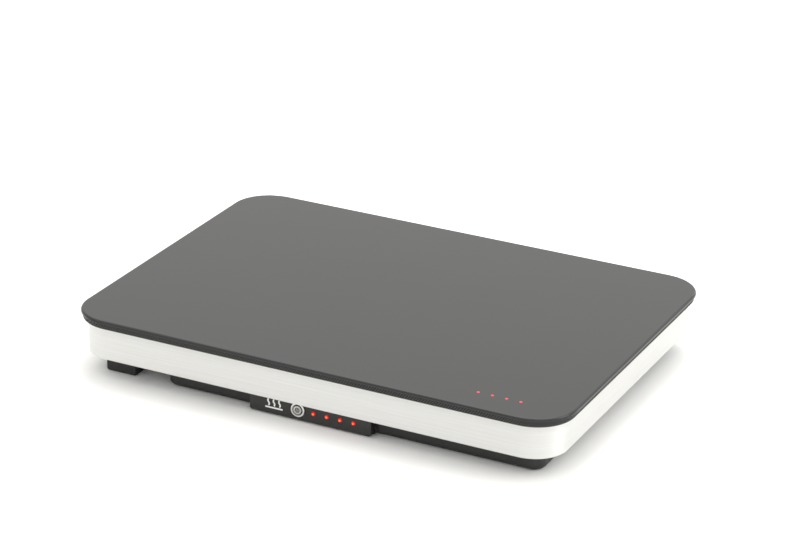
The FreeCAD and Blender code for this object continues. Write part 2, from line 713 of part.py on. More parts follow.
def zone_strip(grow=0):
    """The lamps' strip under the glass, made larger all round: its left, right, front and back."""
    y, last_x = -skirt_y + size.zone_front_inset, skirt_x - size.zone_right_inset
    first_x = last_x - size.zone_pitch * (size.zone_count - 1)
    reach, half = size.zone_board_margin + grow, size.zone_board_width / 2 + grow
    return first_x - reach, last_x + reach, y - half, y + half


def make_frame():
    body = new_body("top_frame")
    pad(body, "XY", frame_low, seal_low, footprint(size.frame_inset))
    cut(body, "XY", frame_low, seal_low, footprint(size.skirt_inset + size.frame_ledge))
    outer = size.glass_length.value / 2 - size.frame_inset.value
    opening = skirt_x.value - size.frame_ledge.value

    def outer_lower_edge(edge):
        limits = edge.BoundBox
        low = lies_at("Z", frame_low)(edge)
        reach = max(abs(limits.XMin), abs(limits.XMax))
        depth = max(abs(limits.YMin), abs(limits.YMax))
        return low and (reach > (outer + opening) / 2 or depth > skirt_y.value)
    soften(body, "Fillet", size.frame_edge_radius, outer_lower_edge)
    cut(body, "XY", frame_low, seal_low, box(*zone_strip(size.zone_notch_gap)))
    top = frame_low + size.frame_hole_depth
    cut(body, "XY", frame_low, top, circles(skirt_screw_points(), size.skirt_screw_shank + size.thread_gap))
    cut(body, "XY", frame_low, top, circles(standoff_points(), size.standoff_stud + size.thread_gap))


# ---------------------------------------------------------------------------
# Skirt and base pan
# ---------------------------------------------------------------------------
def make_skirt():
    body = new_body("skirt")
    pad(body, "XY", size.skirt_bottom, frame_low, footprint(size.skirt_inset))
    soften(body, "Fillet", size.skirt_bend_radius, lies_at("Z", size.skirt_bottom))
    soften(body, "Fillet", size.skirt_bend_radius, lies_at("Z", frame_low))
    cut(body, "XY", skirt_floor, skirt_roof, footprint(size.skirt_inset + size.sheet_thickness))
    cut(body, "XY", size.skirt_bottom, frame_low, footprint(size.skirt_inset + size.flange_width))
    points, clearance = skirt_screw_points(), size.screw_clearance
    cut(body, "XY", skirt_roof, frame_low, circles(points, size.skirt_screw_shank + clearance))
    cut(body, "XY", size.skirt_bottom, skirt_floor, circles(points, size.base_screw_shank + clearance))


def make_skirt_screws():
    length = size.sheet_thickness + size.frame_hole_depth - size.thread_gap
    screws("skirt_screws", "XY", skirt_roof, 1, skirt_screw_points(), size.skirt_screw_shank, length,
           size.skirt_screw_head)
    screws("base_screws", "XY", size.skirt_bottom, 1, skirt_screw_points(), size.base_screw_shank,
           size.base_screw_length, size.base_screw_head)


def tub_outline(grow):
    """The tub's plan outline, made larger by an amount all round."""
    return rounded(tub_left - grow, tub_right + grow, tub_front - grow, tub_back + grow,
                   size.tub_corner_radius + grow)


def tub_screw_points():
    middle = size.tub_rim / 2
    y = tub_back + middle
    left, right = tub_left + size.tub_screw_end_gap, tub_right - size.tub_screw_end_gap
    long_sides = [(x, side * y) for side in (-1, 1) for x in (left, (left + right) / 2, right)]
    left, right = tub_left - middle, tub_right + middle
    short_sides = [(x, side * size.tub_screw_side) for side in (-1, 1) for x in (left, right)]
    return long_sides + short_sides


def foot_centres():
    x = -skirt_x + size.foot_left_inset + size.foot_length / 2
    y = skirt_y - size.foot_side_inset - size.foot_length / 2
    return [(x, -y), (x, y)]


def intake_slots():
    left, right = blower_x - size.intake_slot_length / 2, blower_x + size.intake_slot_length / 2
    first = -size.intake_pitch * (size.intake_count - 1) / 2 - size.intake_slot / 2
    lows = [first + i * size.intake_pitch for i in range(int(size.intake_count.value))]
    return boxes([(left, right, low, low + size.intake_slot) for low in lows])


def make_base_pan():
    body = new_body("base_pan")
    pad(body, "XY", skirt_floor, pan_high, footprint(size.skirt_inset + size.sheet_thickness + size.pan_gap))
    cut(body, "XY", skirt_floor, pan_high, tub_outline(size.tub_gap))
    for points, shank, gap in (
        (skirt_screw_points(), size.base_screw_shank, size.thread_gap),
        (tub_screw_points(), size.tub_screw_shank, size.thread_gap),
        (foot_centres(), size.foot_screw_shank, size.screw_clearance),
        (blower_screw_points(), size.blower_screw_shank, size.thread_gap),
    ):
        cut(body, "XY", skirt_floor, pan_high, circles(points, shank + gap))
    cut(body, "XY", skirt_floor, pan_high, intake_slots())


# ---------------------------------------------------------------------------
# Tub for the electronics, with its pads, screws and the hob's two feet
# ---------------------------------------------------------------------------
def board_screw_points():
    inset = size.board_screw_inset
    y = board_half - inset
    return [(x, side * y) for side in (-1, 1) for x in (board_left + inset, board_right - inset)]


def pad_centres():
    x, y = tub_right - size.pad_inset, tub_back - size.pad_inset
    return [(x, -y), (x, y)]


def vents(start):
    """Upright exhaust slots in a row, the first one starting at a given place."""
    starts = [start + i * size.vent_pitch for i in range(int(size.vent_count.value))]
    return boxes([(x, x + size.vent_width, size.vent_low, size.vent_high) for x in starts])


def box_screw_points():
    return [(side * size.box_screw_x, size.box_screw_z) for side in (-1, 1)]


def make_tub():
    body = new_body("electronics_tub")
    pad(body, "XY", size.tub_bottom, pan_high, tub_outline(0))
    pad(body, "XY", pan_high, rim_high, tub_outline(size.tub_rim))
    soften(body, "Fillet", size.tub_edge_radius, lies_at("Z", size.tub_bottom))
    cut(body, "XY", tub_floor, rim_high, tub_outline(-size.tub_wall))
    bosses, clearance = board_screw_points(), size.screw_clearance
    pad(body, "XY", tub_floor, board_low, circles(bosses, size.board_boss))
    cut(body, "XY", tub_floor, board_low, circles(bosses, size.board_screw_shank + size.thread_gap))
    cut(body, "XY", size.tub_bottom, size.tub_bottom + size.pad_recess,
        circles(pad_centres(), size.pad_diameter + 2 * size.pad_gap))
    cut(body, "XY", pan_high, rim_high, circles(tub_screw_points(), size.tub_screw_shank + clearance))
    half, gap = size.spigot_width / 2 + size.spigot_gap, size.spigot_gap
    cut(body, "XZ", tub_front, tub_front + size.tub_wall,
        rounded(-half, half, size.spigot_bottom - gap, spigot_top + gap, size.box_corner_radius))
    cut(body, "XZ", tub_front, tub_front + size.tub_wall,
        circles(box_screw_points(), size.tub_screw_shank + clearance))
    cut(body, "XZ", tub_back - size.tub_wall, tub_back,
        circles([(gland_x, size.gland_z)], size.gland_thread + size.gland_hole_gap))
    cut(body, "XZ", tub_back - size.tub_wall, tub_back, vents(size.rear_vent_start))
    row = size.vent_pitch * (size.vent_count - 1) + size.vent_width
    cut(body, "YZ", tub_right - size.tub_wall, tub_right, vents(-row / 2))


def make_tub_fasteners():
    screws("tub_screws", "XY", rim_high, -1, tub_screw_points(), size.tub_screw_shank, size.tub_screw_length,
           size.tub_screw_head)
    body = new_body("tub_pads")
    pad(body, "XY", 0, size.tub_bottom + size.pad_recess, circles(pad_centres(), size.pad_diameter))


def make_foot(label, centre):
    """A moulded rubber block, screwed up through its middle."""
    x, y = centre
    half = size.foot_length / 2
    body = new_body(label)
    pad(body, "XY", 0, skirt_floor, rounded(x - half, x + half, y - half, y + half, size.foot_corner_radius))
    soften(body, "Fillet", size.foot_edge_radius, lies_at("Z", 0))
    cut(body, "XY", 0, size.foot_recess_depth, circles([centre], size.foot_recess))
    cut(body, "XY", size.foot_recess_depth, skirt_floor,
        circles([centre], size.foot_screw_shank + size.screw_clearance))


def make_foot_fasteners():
    reach = pan_high + size.foot_nut_height + size.foot_screw_head_height / 2
    screws("foot_screws", "XY", size.foot_recess_depth, 1, foot_centres(), size.foot_screw_shank,
           reach - size.foot_recess_depth, size.foot_screw_head, size.foot_screw_head_height)
    body = new_body("foot_nuts")
    top = pan_high + size.foot_nut_height
    pad(body, "XY", pan_high, top, *[hexagon(x, y, size.foot_nut_width) for x, y in foot_centres()])
    cut(body, "XY", pan_high, top, circles(foot_centres(), size.foot_screw_shank + size.thread_gap))


# ---------------------------------------------------------------------------
# Control box with its pictogram, lamps and board
# ---------------------------------------------------------------------------
def lamp_points():
    return [(size.lamp_first_x + i * size.lamp_pitch, size.lamp_z) for i in range(int(size.lamp_count.value))]


def make_control_box():
    body = new_body("control_box")
    half, low, high, radius = size.box_width / 2, size.box_bottom, box_top, size.box_corner_radius
    pad(body, "XZ", box_face, tub_front, rounded(-half, half, low, high, radius))
    soften(body, "Fillet", size.box_face_radius, lies_at("Y", box_face))
    lip, drop = half + size.box_lip, size.box_lip_drop
    pad(body, "XZ", tub_front - size.box_lip, tub_front, rounded(-lip, lip, low - drop, high + drop, radius))
    half = size.spigot_width / 2
    pad(body, "XZ", tub_front, spigot_back, rounded(-half, half, size.spigot_bottom, spigot_top, radius))
    half, wall = half - size.spigot_wall, size.spigot_wall
    cut(body, "XZ", box_face + size.box_face, spigot_back,
        rounded(-half, half, size.spigot_bottom + wall, spigot_top - wall, radius - wall))
    cut(body, "XZ", box_face, box_face + size.box_face,
        circles([(size.switch_x, size.switch_z)], barrel_diameter + 2 * size.button_gap),
        circles(lamp_points(), size.lamp_diameter + size.lamp_gap))
    cut(body, "XZ", tub_front - size.box_screw_depth, tub_front,
        circles(box_screw_points(), size.tub_screw_shank + size.thread_gap))


def make_control_box_screws():
    seat = tub_front + size.tub_wall
    length = size.tub_wall + size.box_screw_depth - size.thread_gap
    screws("control_box_screws", "XZ", seat, -1, box_screw_points(), size.tub_screw_shank, length,
           size.tub_screw_head)


def wave(x, z):
    """One upright heat wave of the pictogram: two bows, the second turned over, of even line width."""
    bow, half = size.badge_bow.value, size.badge_line.value / 2
    swing = bow * math.sqrt(0.5)
    inner, outer = bow - half, bow + half

    def point(side, level, radius, angle):
        centre_x, centre_z = x - side * swing, z + swing * (2 * level + 1)
        angle = math.radians(angle if side > 0 else 180 - angle)
        return Vector(centre_x + radius * math.cos(angle), 0, centre_z + radius * math.sin(angle))

    def bow_edge(side, level, radius):
        return Part.Arc(*[point(side, level, radius, angle) for angle in (-45, 0, 45)]).toShape()

    edges = [bow_edge(1, 0, inner), bow_edge(-1, 1, outer), bow_edge(-1, 1, inner), bow_edge(1, 0, outer)]
    edges.append(Part.LineSegment(point(1, 0, inner, -45), point(1, 0, outer, -45)).toShape())
    edges.append(Part.LineSegment(point(-1, 1, inner, 45), point(-1, 1, outer, 45)).toShape())
    return Part.Face(Part.Wire(Part.__sortEdges__(edges)))


def make_badge():
    """Generic hotplate pictogram: three heat waves over a bar."""
    left, low = size.badge_x.value - size.badge_width.value / 2, size.badge_z.value
    bar_high = low + size.badge_line.value
    bar = Part.makePlane(size.badge_width.value, size.badge_line.value, Vector(left, 0, low),
                         Vector(0, -1, 0), Vector(1, 0, 0))
    faces = [bar]
    for i in (-1, 0, 1):
        faces.append(wave(size.badge_x.value + i * size.badge_pitch.value, bar_high + size.badge_gap.value))
    thick = Vector(0, -size.badge_thickness.value, 0)
    piece = shaped("badge_mark", Part.makeCompound([face.extrude(thick) for face in faces]))
    move(piece, y=box_face)


def make_indicator_lamps():
    """Red lamps: a dome in front of the face, a flange behind it and two legs to the board."""
    flange_low = size.box_face + size.lamp_gap / 2
    flange_high = flange_low + size.lamp_flange_height
    radius = size.lamp_diameter / 2
    body = turned("indicator_lamps", "XY", [
        (0, -size.lamp_reach), (radius, -size.lamp_reach), (radius, flange_low),
        (size.lamp_flange / 2, flange_low), (size.lamp_flange / 2, flange_high), (0, flange_high),
    ])
    turn = body.Tip
    dome = soften(body, "Fillet", size.lamp_reach, lies_at("Y", -size.lamp_reach))
    half = size.lamp_leg_pitch / 2
    legs = pad(body, "XZ", flange_high, size.control_board_depth,
               circles([(-half, 0), (half, 0)], size.lamp_leg))
    row = body.newObject("PartDesign::MultiTransform", "Row")
    row.Originals = [turn, dome, legs]
    pattern = document.addObject("PartDesign::LinearPattern", "Step")
    body.addObject(pattern)
    pattern.Direction = (turn.Profile[0], ["H_Axis"])
    bind(pattern, "Length", size.lamp_pitch * (size.lamp_count - 1))
    bind(pattern, "Occurrences", size.lamp_count)
    row.Transformations = [pattern]
    body.Tip = row
    move(body, size.lamp_first_x, box_face, size.lamp_z)


def make_control_board():
    body = new_body("control_board")
    low = size.spigot_bottom + size.spigot_wall + size.control_board_gap
    high = spigot_top - size.spigot_wall - size.control_board_gap
    front = box_face + size.control_board_depth
    back = front + size.board_thickness
    pad(body, "XZ", front, back, box(size.control_board_left, size.control_board_right, low, high))
    middle, half, thick = (low + high) / 2, size.header_length / 2, size.header_width / 2
    pad(body, "XZ", back, back + size.header_height,
        box(size.ribbon_x - half, size.ribbon_x + half, middle - thick, middle + thick),
        box(size.ribbon_x - 3 * half, size.ribbon_x - 2 * half, middle - thick, middle + thick))


# ---------------------------------------------------------------------------
# Power switch: built about its own axis, with its place on the face as its origin
# ---------------------------------------------------------------------------
def at_switch(piece):
    move(piece, size.switch_x, box_face, size.switch_z)


def make_switch_bush():
    bore = size.button_diameter / 2 + size.button_gap
    bezel, barrel, well = bezel_diameter / 2, barrel_diameter / 2, bore + size.bezel_well_width
    seat = -size.switch_seal_thickness
    front = seat - size.bezel_height
    well_floor = front + size.bezel_well_depth
    body = turned("switch_bush", "XY", [
        (bore, well_floor), (well, well_floor), (well, front), (bezel, front),
        (bezel, seat), (barrel, seat), (barrel, size.barrel_length), (barrel_bore / 2, size.barrel_length),
        (barrel_bore / 2, size.barrel_shoulder), (bore, size.barrel_shoulder),
    ])

    def rim(edge):
        return lies_at("Y", front)(edge) and edge.BoundBox.XMax > (well.value + bezel.value) / 2
    soften(body, "Fillet", size.bezel_radius, rim)
    at_switch(body)


def make_switch_seal():
    inner, outer = barrel_diameter / 2 + size.button_gap, bezel_diameter / 2 - size.button_gap
    low = -size.switch_seal_thickness
    at_switch(turned("switch_seal", "XY", [(inner, low), (outer, low), (outer, 0), (inner, 0)]))


def make_switch_nut():
    inner, outer = barrel_diameter / 2 + size.thread_gap / 2, barrel_diameter / 2 + size.switch_nut_ring
    low, high = size.box_face, size.box_face + size.switch_nut_height
    at_switch(turned("switch_nut", "XY", [(inner, low), (outer, low), (outer, high), (inner, high)]))


flange_front = size.barrel_shoulder + size.button_gap
flange_back = flange_front + size.button_flange_height


def make_power_button():
    cap, stem = size.button_diameter / 2, size.button_stem / 2
    flange = barrel_bore / 2 - size.button_flange_gap
    end = size.contact_depth - size.button_travel - size.button_gap
    body = turned("power_button", "XY", [
        (0, -size.button_reach), (cap, -size.button_reach), (cap, flange_front), (flange, flange_front),
        (flange, flange_back), (stem, flange_back), (stem, end), (0, end),
    ])
    soften(body, "Fillet", size.button_edge_radius, lies_at("Y", -size.button_reach))
    at_switch(body)


def make_switch_spring():
    """Return spring between the button's flange and the contact block."""
    wire, radius = size.spring_wire.value, size.spring_radius.value
    end_gap = size.spring_wire / 2 + size.button_gap
    length = (size.contact_depth - flange_back - end_gap * 2).value
    helix = Part.makeHelix(length / size.spring_turns.value, length, radius)
    circle = Part.Circle(Vector(radius, 0, 0), Vector(0, 1, 0), wire / 2)
    spring = Part.Wire(helix).makePipeShell([Part.Wire([circle.toShape()])], True, True)
    spring.rotate(Vector(0, 0, 0), Vector(1, 0, 0), -90)
    move(shaped("switch_spring", spring), size.switch_x, box_face + flange_back + end_gap, size.switch_z)


def make_switch_contacts():
    radius = barrel_bore / 2 - size.button_gap
    low, high = size.contact_depth, size.contact_depth + size.contact_length
    body = turned("switch_contacts", "XY", [(0, low), (radius, low), (radius, high), (0, high)])
    half, thick = radius / 2, size.spring_wire
    pad(body, "XZ", high, high + size.contact_pin_length,
        boxes([(-half - thick, -half, -thick, thick), (half, half + thick, -thick, thick)]))
    at_switch(body)


# ---------------------------------------------------------------------------
# Row of lamps close under the glass
# ---------------------------------------------------------------------------
def make_zone_lamps():
    left, right, front, back = zone_strip()
    first_x, y = left + size.zone_board_margin, (front + back) / 2
    points = [(first_x + i * size.zone_pitch, y) for i in range(int(size.zone_count.value))]
    lamp_high = glass_low - size.zone_air
    lamp_low = lamp_high - size.zone_lamp_height
    strip_low = lamp_low - size.board_thickness
    body = new_body("zone_lamps")
    pad(body, "XY", lamp_low, lamp_high, circles(points, size.zone_lamp))
    body = new_body("zone_lamp_board")
    pad(body, "XY", strip_low, lamp_low, box(left, right, front, back))
    body = new_body("zone_lamp_bridge")
    pad(body, "XY", deck_high, strip_low, box(left, right, front, back))
    leg = size.zone_leg
    cut(body, "XZ", front, back, box(left + leg, right - leg, deck_high, strip_low - leg))


# ---------------------------------------------------------------------------
# Coils, their carriers and the deck that holds them up
# ---------------------------------------------------------------------------
def lead_places(side):
    """Where a coil's inner and outer leads go down: (x, y) of each."""
    x = side * coil_x
    return [(x + size.coil_bore, -size.coil_bend), (x + coil_end, size.coil_bend)]


def make_deck():
    body = new_body("coil_deck")
    pad(body, "XY", deck_low, deck_high, footprint(size.skirt_inset + size.deck_inset))
    studs = size.standoff_stud + size.screw_clearance
    cut(body, "XY", deck_low, deck_high, circles(standoff_points(), studs))
    cut(body, "XY", deck_low, deck_high, circles(lead_places(-1) + lead_places(1), size.lead_hole))


def make_deck_standoffs():
    points, stud = standoff_points(), size.standoff_stud
    nut_low = deck_low - size.deck_nut_height
    body = new_body("deck_standoffs")
    pad(body, "XY", deck_high, frame_low, circles(points, size.standoff_diameter))
    pad(body, "XY", frame_low, frame_low + size.standoff_stud_length, circles(points, stud))
    pad(body, "XY", nut_low, deck_high, circles(points, stud))
    body = new_body("deck_nuts")
    pad(body, "XY", nut_low, deck_low, *[hexagon(x, y, size.deck_nut_width) for x, y in points])
    cut(body, "XY", nut_low, deck_low, circles(points, stud + size.thread_gap))


def bumper_points():
    reach = size.bumper_radius
    return [(reach, 0), (0, reach), (-reach, 0), (0, -reach)]


def spiral_edges(inner, pitch, turns, height):
    """A flat spiral of half circles on two centres, each a quarter pitch from the middle."""
    edges = []
    for half_turn in range(2 * turns):
        radius = inner + half_turn * pitch / 2
        centre = half_turn % 2 * pitch / 2
        way = -1 if half_turn % 2 else 1
        points = [(centre + way * radius, 0), (centre, way * radius), (centre - way * radius, 0)]
        edges.append(Part.Arc(*[Vector(x, y, height) for x, y in points]).toShape())
    return edges


def make_coil(name, side, posts):
    """A flat litz winding with both ends led down through the deck to the power board."""
    x, z, bend = side * coil_x.value, wire_z.value, size.coil_bend.value
    under, top = deck_low.value - size.coil_lead_drop.value, (board_high + size.post_height).value
    pitch = coil_pitch.value
    spiral = spiral_edges(size.coil_bore.value, pitch, coil_turns, z)
    for edge in spiral:
        edge.translate(Vector(x, 0, 0))

    def lead(start, way, post):
        """From the end of the spiral, down through the deck, across and down to a post."""
        down = start + Vector(0, way * bend, 0)
        route = [start, down, Vector(down.x, down.y, under), Vector(post[0].value, post[1].value, under),
                 Vector(post[0].value, post[1].value, top)]
        return bent_wire(route, bend)
    inner = lead(Vector(x + size.coil_bore.value, 0, z), -1, posts[0])
    outer = lead(Vector(x + coil_end.value, 0, z), 1, posts[1])
    shaped(f"coil_{name}", tube(inner[::-1] + spiral + outer, size.coil_wire.value))


def make_carrier(name, side):
    """A moulded disc: a recess above for the winding and radial slots below for the ferrites."""
    body = new_body(f"coil_carrier_{name}")
    pad(body, "XY", carrier_low, carrier_high, circles([(0, 0)], carrier_radius * 2))
    cut(body, "XY", recess_low, carrier_high, circles([(0, 0)], (carrier_radius - size.carrier_rim) * 2),
        circles([(0, 0)], size.carrier_hub * 2))
    cut(body, "XY", carrier_low, carrier_high, circles([(0, 0)], size.sensor_diameter + 2 * size.sensor_gap))
    leads = [(size.coil_bore, -size.coil_bend), (coil_end, size.coil_bend)]
    cut(body, "XY", carrier_low, recess_low, circles(leads, size.carrier_lead_hole))
    ferrite_ring(body, cut, carrier_low, slot_high, size.ferrite_gap)
    move(body, side * coil_x)


def ferrite_ring(body, make, low, high, gap):
    """Radial bars under a coil, or the slots that hold them."""
    half = size.ferrite_width / 2 + gap
    start, end = size.ferrite_start - gap, carrier_radius - size.ferrite_end_gap + gap
    bar = make(body, "XY", low, high, box(start, end, -half, half))
    half_step = FreeCAD.Rotation(Vector(0, 0, 1), 180 / size.ferrite_count.value)
    bar.Profile[0].AttachmentOffset = FreeCAD.Placement(bar.Profile[0].AttachmentOffset.Base, half_step)
    document.recompute()
    ring = body.newObject("PartDesign::PolarPattern", "Ring")
    ring.Originals = [bar]
    ring.Axis = (bar.Profile[0], ["N_Axis"])
    ring.Angle = 360
    bind(ring, "Occurrences", size.ferrite_count)
    body.Tip = ring


def make_ferrites(name, side):
    body = new_body(f"ferrites_{name}")
    ferrite_ring(body, pad, carrier_low, carrier_low + size.ferrite_height, as_size(0))
    move(body, side * coil_x)


def make_mica(name, side):
    body = new_body(f"mica_{name}")
    pad(body, "XY", carrier_high, glass_low, circles([(0, 0)], carrier_radius * 2))
    cut(body, "XY", carrier_high, glass_low, circles([(0, 0)], size.sensor_diameter + 2 * size.sensor_gap))
    move(body, side * coil_x)


def make_coil_supports():
    body = new_body("coil_bumpers")
    points = [(side * coil_x + x, y) for side in (-1, 1) for x, y in bumper_points()]
    pad(body, "XY", deck_high, carrier_low, circles(points, size.bumper_diameter))
    body = new_body("temperature_sensors")
    pad(body, "XY", glass_low - size.sensor_height, glass_low,
        circles([(-coil_x, 0), (coil_x, 0)], size.sensor_diameter))


# ---------------------------------------------------------------------------
# Power board and what stands on it
# ---------------------------------------------------------------------------
post_y = board_half - size.post_edge_gap
left_post_x = board_left + size.left_posts
right_post_x = board_right - size.right_posts
left_posts = [(left_post_x, post_y), (left_post_x + size.post_pitch, post_y)]
right_posts = [(right_post_x - size.post_pitch, post_y), (right_post_x, post_y)]


def make_power_board():
    body = new_body("power_board")
    pad(body, "XY", board_low, board_high, box(board_left, board_right, -board_half, board_half))
    cut(body, "XY", board_low, board_high,
        circles(board_screw_points(), size.board_screw_shank + size.screw_clearance))
    pad(body, "XY", board_high, board_high + size.post_height,
        circles(left_posts + right_posts, size.post_diameter))
    half, front = size.header_length / 2, -board_half + size.part_edge_gap
    pad(body, "XY", board_high, board_high + size.header_height,
        box(size.ribbon_x - half, size.ribbon_x + half, front, front + size.header_width))
    screws("board_screws", "XY", board_high, -1, board_screw_points(), size.board_screw_shank,
           size.board_lift + size.board_thickness - size.thread_gap, size.board_screw_head)


sink_left = board_left + size.sink_start
sink_right = sink_left + size.sink_length
sink_low = board_high + size.chip_height


def make_heat_sink():
    """Extruded along the air flow: a base on two legs, with upright fins."""
    body = new_body("heat_sink")
    half, fin_low, high = size.sink_width / 2, sink_low + size.sink_base, deck_low - size.sink_roof_gap
    pad(body, "YZ", sink_left, sink_right, box(-half, half, sink_low, fin_low))
    pad(body, "YZ", sink_left, sink_right, boxes([(-half, -half + size.sink_leg, board_high, sink_low),
                                                  (half - size.sink_leg, half, board_high, sink_low)]))
    fin = pad(body, "YZ", sink_left, sink_right, box(-half, -half + size.sink_fin, fin_low, high))
    repeat(body, fin, "H_Axis", size.sink_fin_count, size.sink_width - size.sink_fin)


def make_chips():
    """Flat packages clamped between the board and the heat sink."""
    body = new_body("power_transistors")
    first, half = sink_left + size.chip_margin, size.transistor_length / 2
    starts = [first + i * size.transistor_pitch for i in range(int(size.transistor_count.value))]
    width = size.transistor_width
    pad(body, "XY", board_high, sink_low, boxes([(x, x + width, -half, half) for x in starts]))
    body = new_body("rectifier")
    right, half = sink_right - size.chip_margin, size.rectifier_length / 2
    pad(body, "XY", board_high, sink_low, box(right - size.rectifier_width, right, -half, half))


def make_capacitors():
    """Box-shaped film capacitors: two for the supply, two for each coil's resonance."""
    high = board_high + size.capacitor_height
    step = size.capacitor_width + size.capacitor_gap
    body = new_body("filter_capacitors")
    left, low = board_right - size.filter_start, -board_half + size.part_edge_gap
    rows = [low + i * step for i in range(2)]
    pad(body, "XY", board_high, high,
        boxes([(left, left + size.capacitor_length, y, y + size.capacitor_width) for y in rows]))
    body = new_body("resonant_capacitors")
    left = board_right - size.part_edge_gap - size.capacitor_length
    rows = [i * step - step * 2 for i in range(4)]
    pad(body, "XY", board_high, high,
        boxes([(left, left + size.capacitor_length, y, y + size.capacitor_width) for y in rows]))


def make_choke():
    inner, outer = size.choke_inner / 2, size.choke_outer / 2
    high = size.choke_height
    body = turned("filter_choke", "XZ", [(inner, 0), (outer, 0), (outer, high), (inner, high)])
    soften(body, "Fillet", inner / 2, lambda edge: True)
    move(body, board_left + size.part_edge_gap + outer, -board_half + size.part_edge_gap + outer, board_high)


def make_terminal_block():
    body = new_body("terminal_block")
    left = board_left + size.board_screw_inset + size.terminal_left_gap
    right, back = left + size.terminal_length, board_half - size.part_edge_gap
    front, middle = back - size.terminal_width, (left + left + size.terminal_length) / 2
    pad(body, "XY", board_high, board_high + size.terminal_height, box(left, right, front, back))
    holes = [(middle + i * size.terminal_pitch, board_high + size.terminal_height / 2) for i in (-1, 0, 1)]
    cut(body, "XZ", front + size.terminal_width / 2, back, circles(holes, size.terminal_bore))


def make_ribbon():
    """Flat cable from the control board back and over to its socket on the power board."""
    start_y = (box_face + size.control_board_depth + size.board_thickness + size.header_height).value
    start_z = ((size.spigot_bottom + spigot_top) / 2).value
    end_y = (-board_half + size.part_edge_gap + size.header_width / 2).value
    end_z, loop_z = (board_high + size.header_height).value, (board_high + size.ribbon_rise).value
    loop_z = loop_z + size.header_height.value
    step_y = (spigot_back + size.ribbon_bend * 2).value
    x, half, thick = size.ribbon_x.value, size.ribbon_width.value / 2, size.ribbon_thickness.value / 2
    ends = ((-half, -thick), (half, -thick), (half, thick), (-half, thick))
    route = [Vector(x, start_y, start_z), Vector(x, step_y, start_z), Vector(x, step_y, loop_z),
             Vector(x, end_y, loop_z), Vector(x, end_y, end_z)]
    corners = [Vector(x + across, start_y, start_z + up) for across, up in ends]
    section = Part.makePolygon(corners + corners[:1])
    path = Part.Wire(bent_wire(route, size.ribbon_bend.value))
    shaped("control_cable", path.makePipeShell([section], True, False))


# ---------------------------------------------------------------------------
# Blower: housing, cover, motor and rotor about one upright axis
# ---------------------------------------------------------------------------
def blower_screw_points():
    reach = size.blower_lug
    return [(blower_x - reach, -reach), (blower_x - reach, reach)]


blower_floor = pan_high + size.blower_wall
cover_low = blower_high - size.blower_cover


def make_blower_housing():
    """A round shell with an intake below, a square outlet to the right and two screw lugs."""
    body = new_body("blower_housing")
    radius, wall, reach = size.blower_radius, size.blower_wall, size.blower_outlet_reach
    front, lug, lug_radius = radius - size.blower_outlet_width, size.blower_lug, size.blower_lug_radius
    lugs = [(-lug, -lug), (-lug, lug)]
    pad(body, "XY", pan_high, cover_low, circles([(0, 0)], radius * 2))
    pad(body, "XY", pan_high, cover_low, box(0, reach, front, radius))
    pad(body, "XY", pan_high, blower_floor, circles(lugs, lug_radius * 2))
    for side in (-1, 1):
        pad(body, "XY", pan_high, blower_floor,
            polygon([(-lug - lug_radius, side * lug), (-lug, side * (lug + lug_radius)),
                     (0, side * lug_radius), (0, 0)]))
    cut(body, "XY", blower_floor, cover_low, circles([(0, 0)], (radius - wall) * 2))
    cut(body, "XY", blower_floor, cover_low, box(0, reach, front + wall, radius - wall))
    cut(body, "XY", pan_high, blower_floor, circles([(0, 0)], size.intake_diameter))
    cut(body, "XY", pan_high, blower_floor, circles(lugs, size.blower_screw_shank + size.screw_clearance))
    move(body, blower_x)


def make_blower_cover():
    body = new_body("blower_cover")
    radius, reach = size.blower_radius, size.blower_outlet_reach
    pad(body, "XY", cover_low, blower_high, circles([(0, 0)], radius * 2))
    pad(body, "XY", cover_low, blower_high, box(0, reach, radius - size.blower_outlet_width, radius))
    move(body, blower_x)
    screws("blower_screws", "XY", blower_floor, -1, blower_screw_points(), size.blower_screw_shank,
           size.blower_wall + size.sheet_thickness, size.blower_screw_head)


rotor_low = blower_floor + size.rotor_end_gap
rotor_high = cover_low - size.rotor_end_gap
stator_low = cover_low - size.stator_height


def make_blower_motor():
    """A stator ring hung from the cover, with the fixed shaft that the rotor runs on."""
    shaft, bore, outer = size.shaft_diameter / 2, size.stator_bore, size.stator_radius
    root = cover_low - size.rotor_disc
    body = turned("blower_motor", "XZ", [
        (0, rotor_low), (shaft, rotor_low), (shaft, root), (bore, root),
        (bore, stator_low), (outer, stator_low), (outer, cover_low), (0, cover_low),
    ])
    move(body, blower_x)


def make_blower_rotor():
    """Hub cup and boss on the shaft, back plate, and a ring of upright blades."""
    hub, wall, boss = size.rotor_hub, size.rotor_hub_wall, size.rotor_boss
    bore = size.shaft_diameter / 2 + size.shaft_gap
    disc_high = rotor_low + size.rotor_disc
    cup_low = stator_low - size.rotor_disc
    body = turned("blower_rotor", "XZ", [
        (bore, rotor_low), (size.rotor_radius, rotor_low), (size.rotor_radius, disc_high), (hub, disc_high),
        (hub, rotor_high), (hub - wall, rotor_high), (hub - wall, cup_low), (boss, cup_low),
        (boss, cup_low + size.rotor_disc * 2), (bore, cup_low + size.rotor_disc * 2),
    ])
    half = size.rotor_blade / 2
    blade = pad(body, "XY", disc_high, rotor_high,
                box(size.rotor_blade_start, size.rotor_radius, -half, half))
    ring = body.newObject("PartDesign::PolarPattern", "Blades")
    ring.Originals = [blade]
    ring.Axis = (blade.Profile[0], ["N_Axis"])
    ring.Angle = 360
    bind(ring, "Occurrences", size.rotor_blade_count)
    body.Tip = ring
    move(body, blower_x)


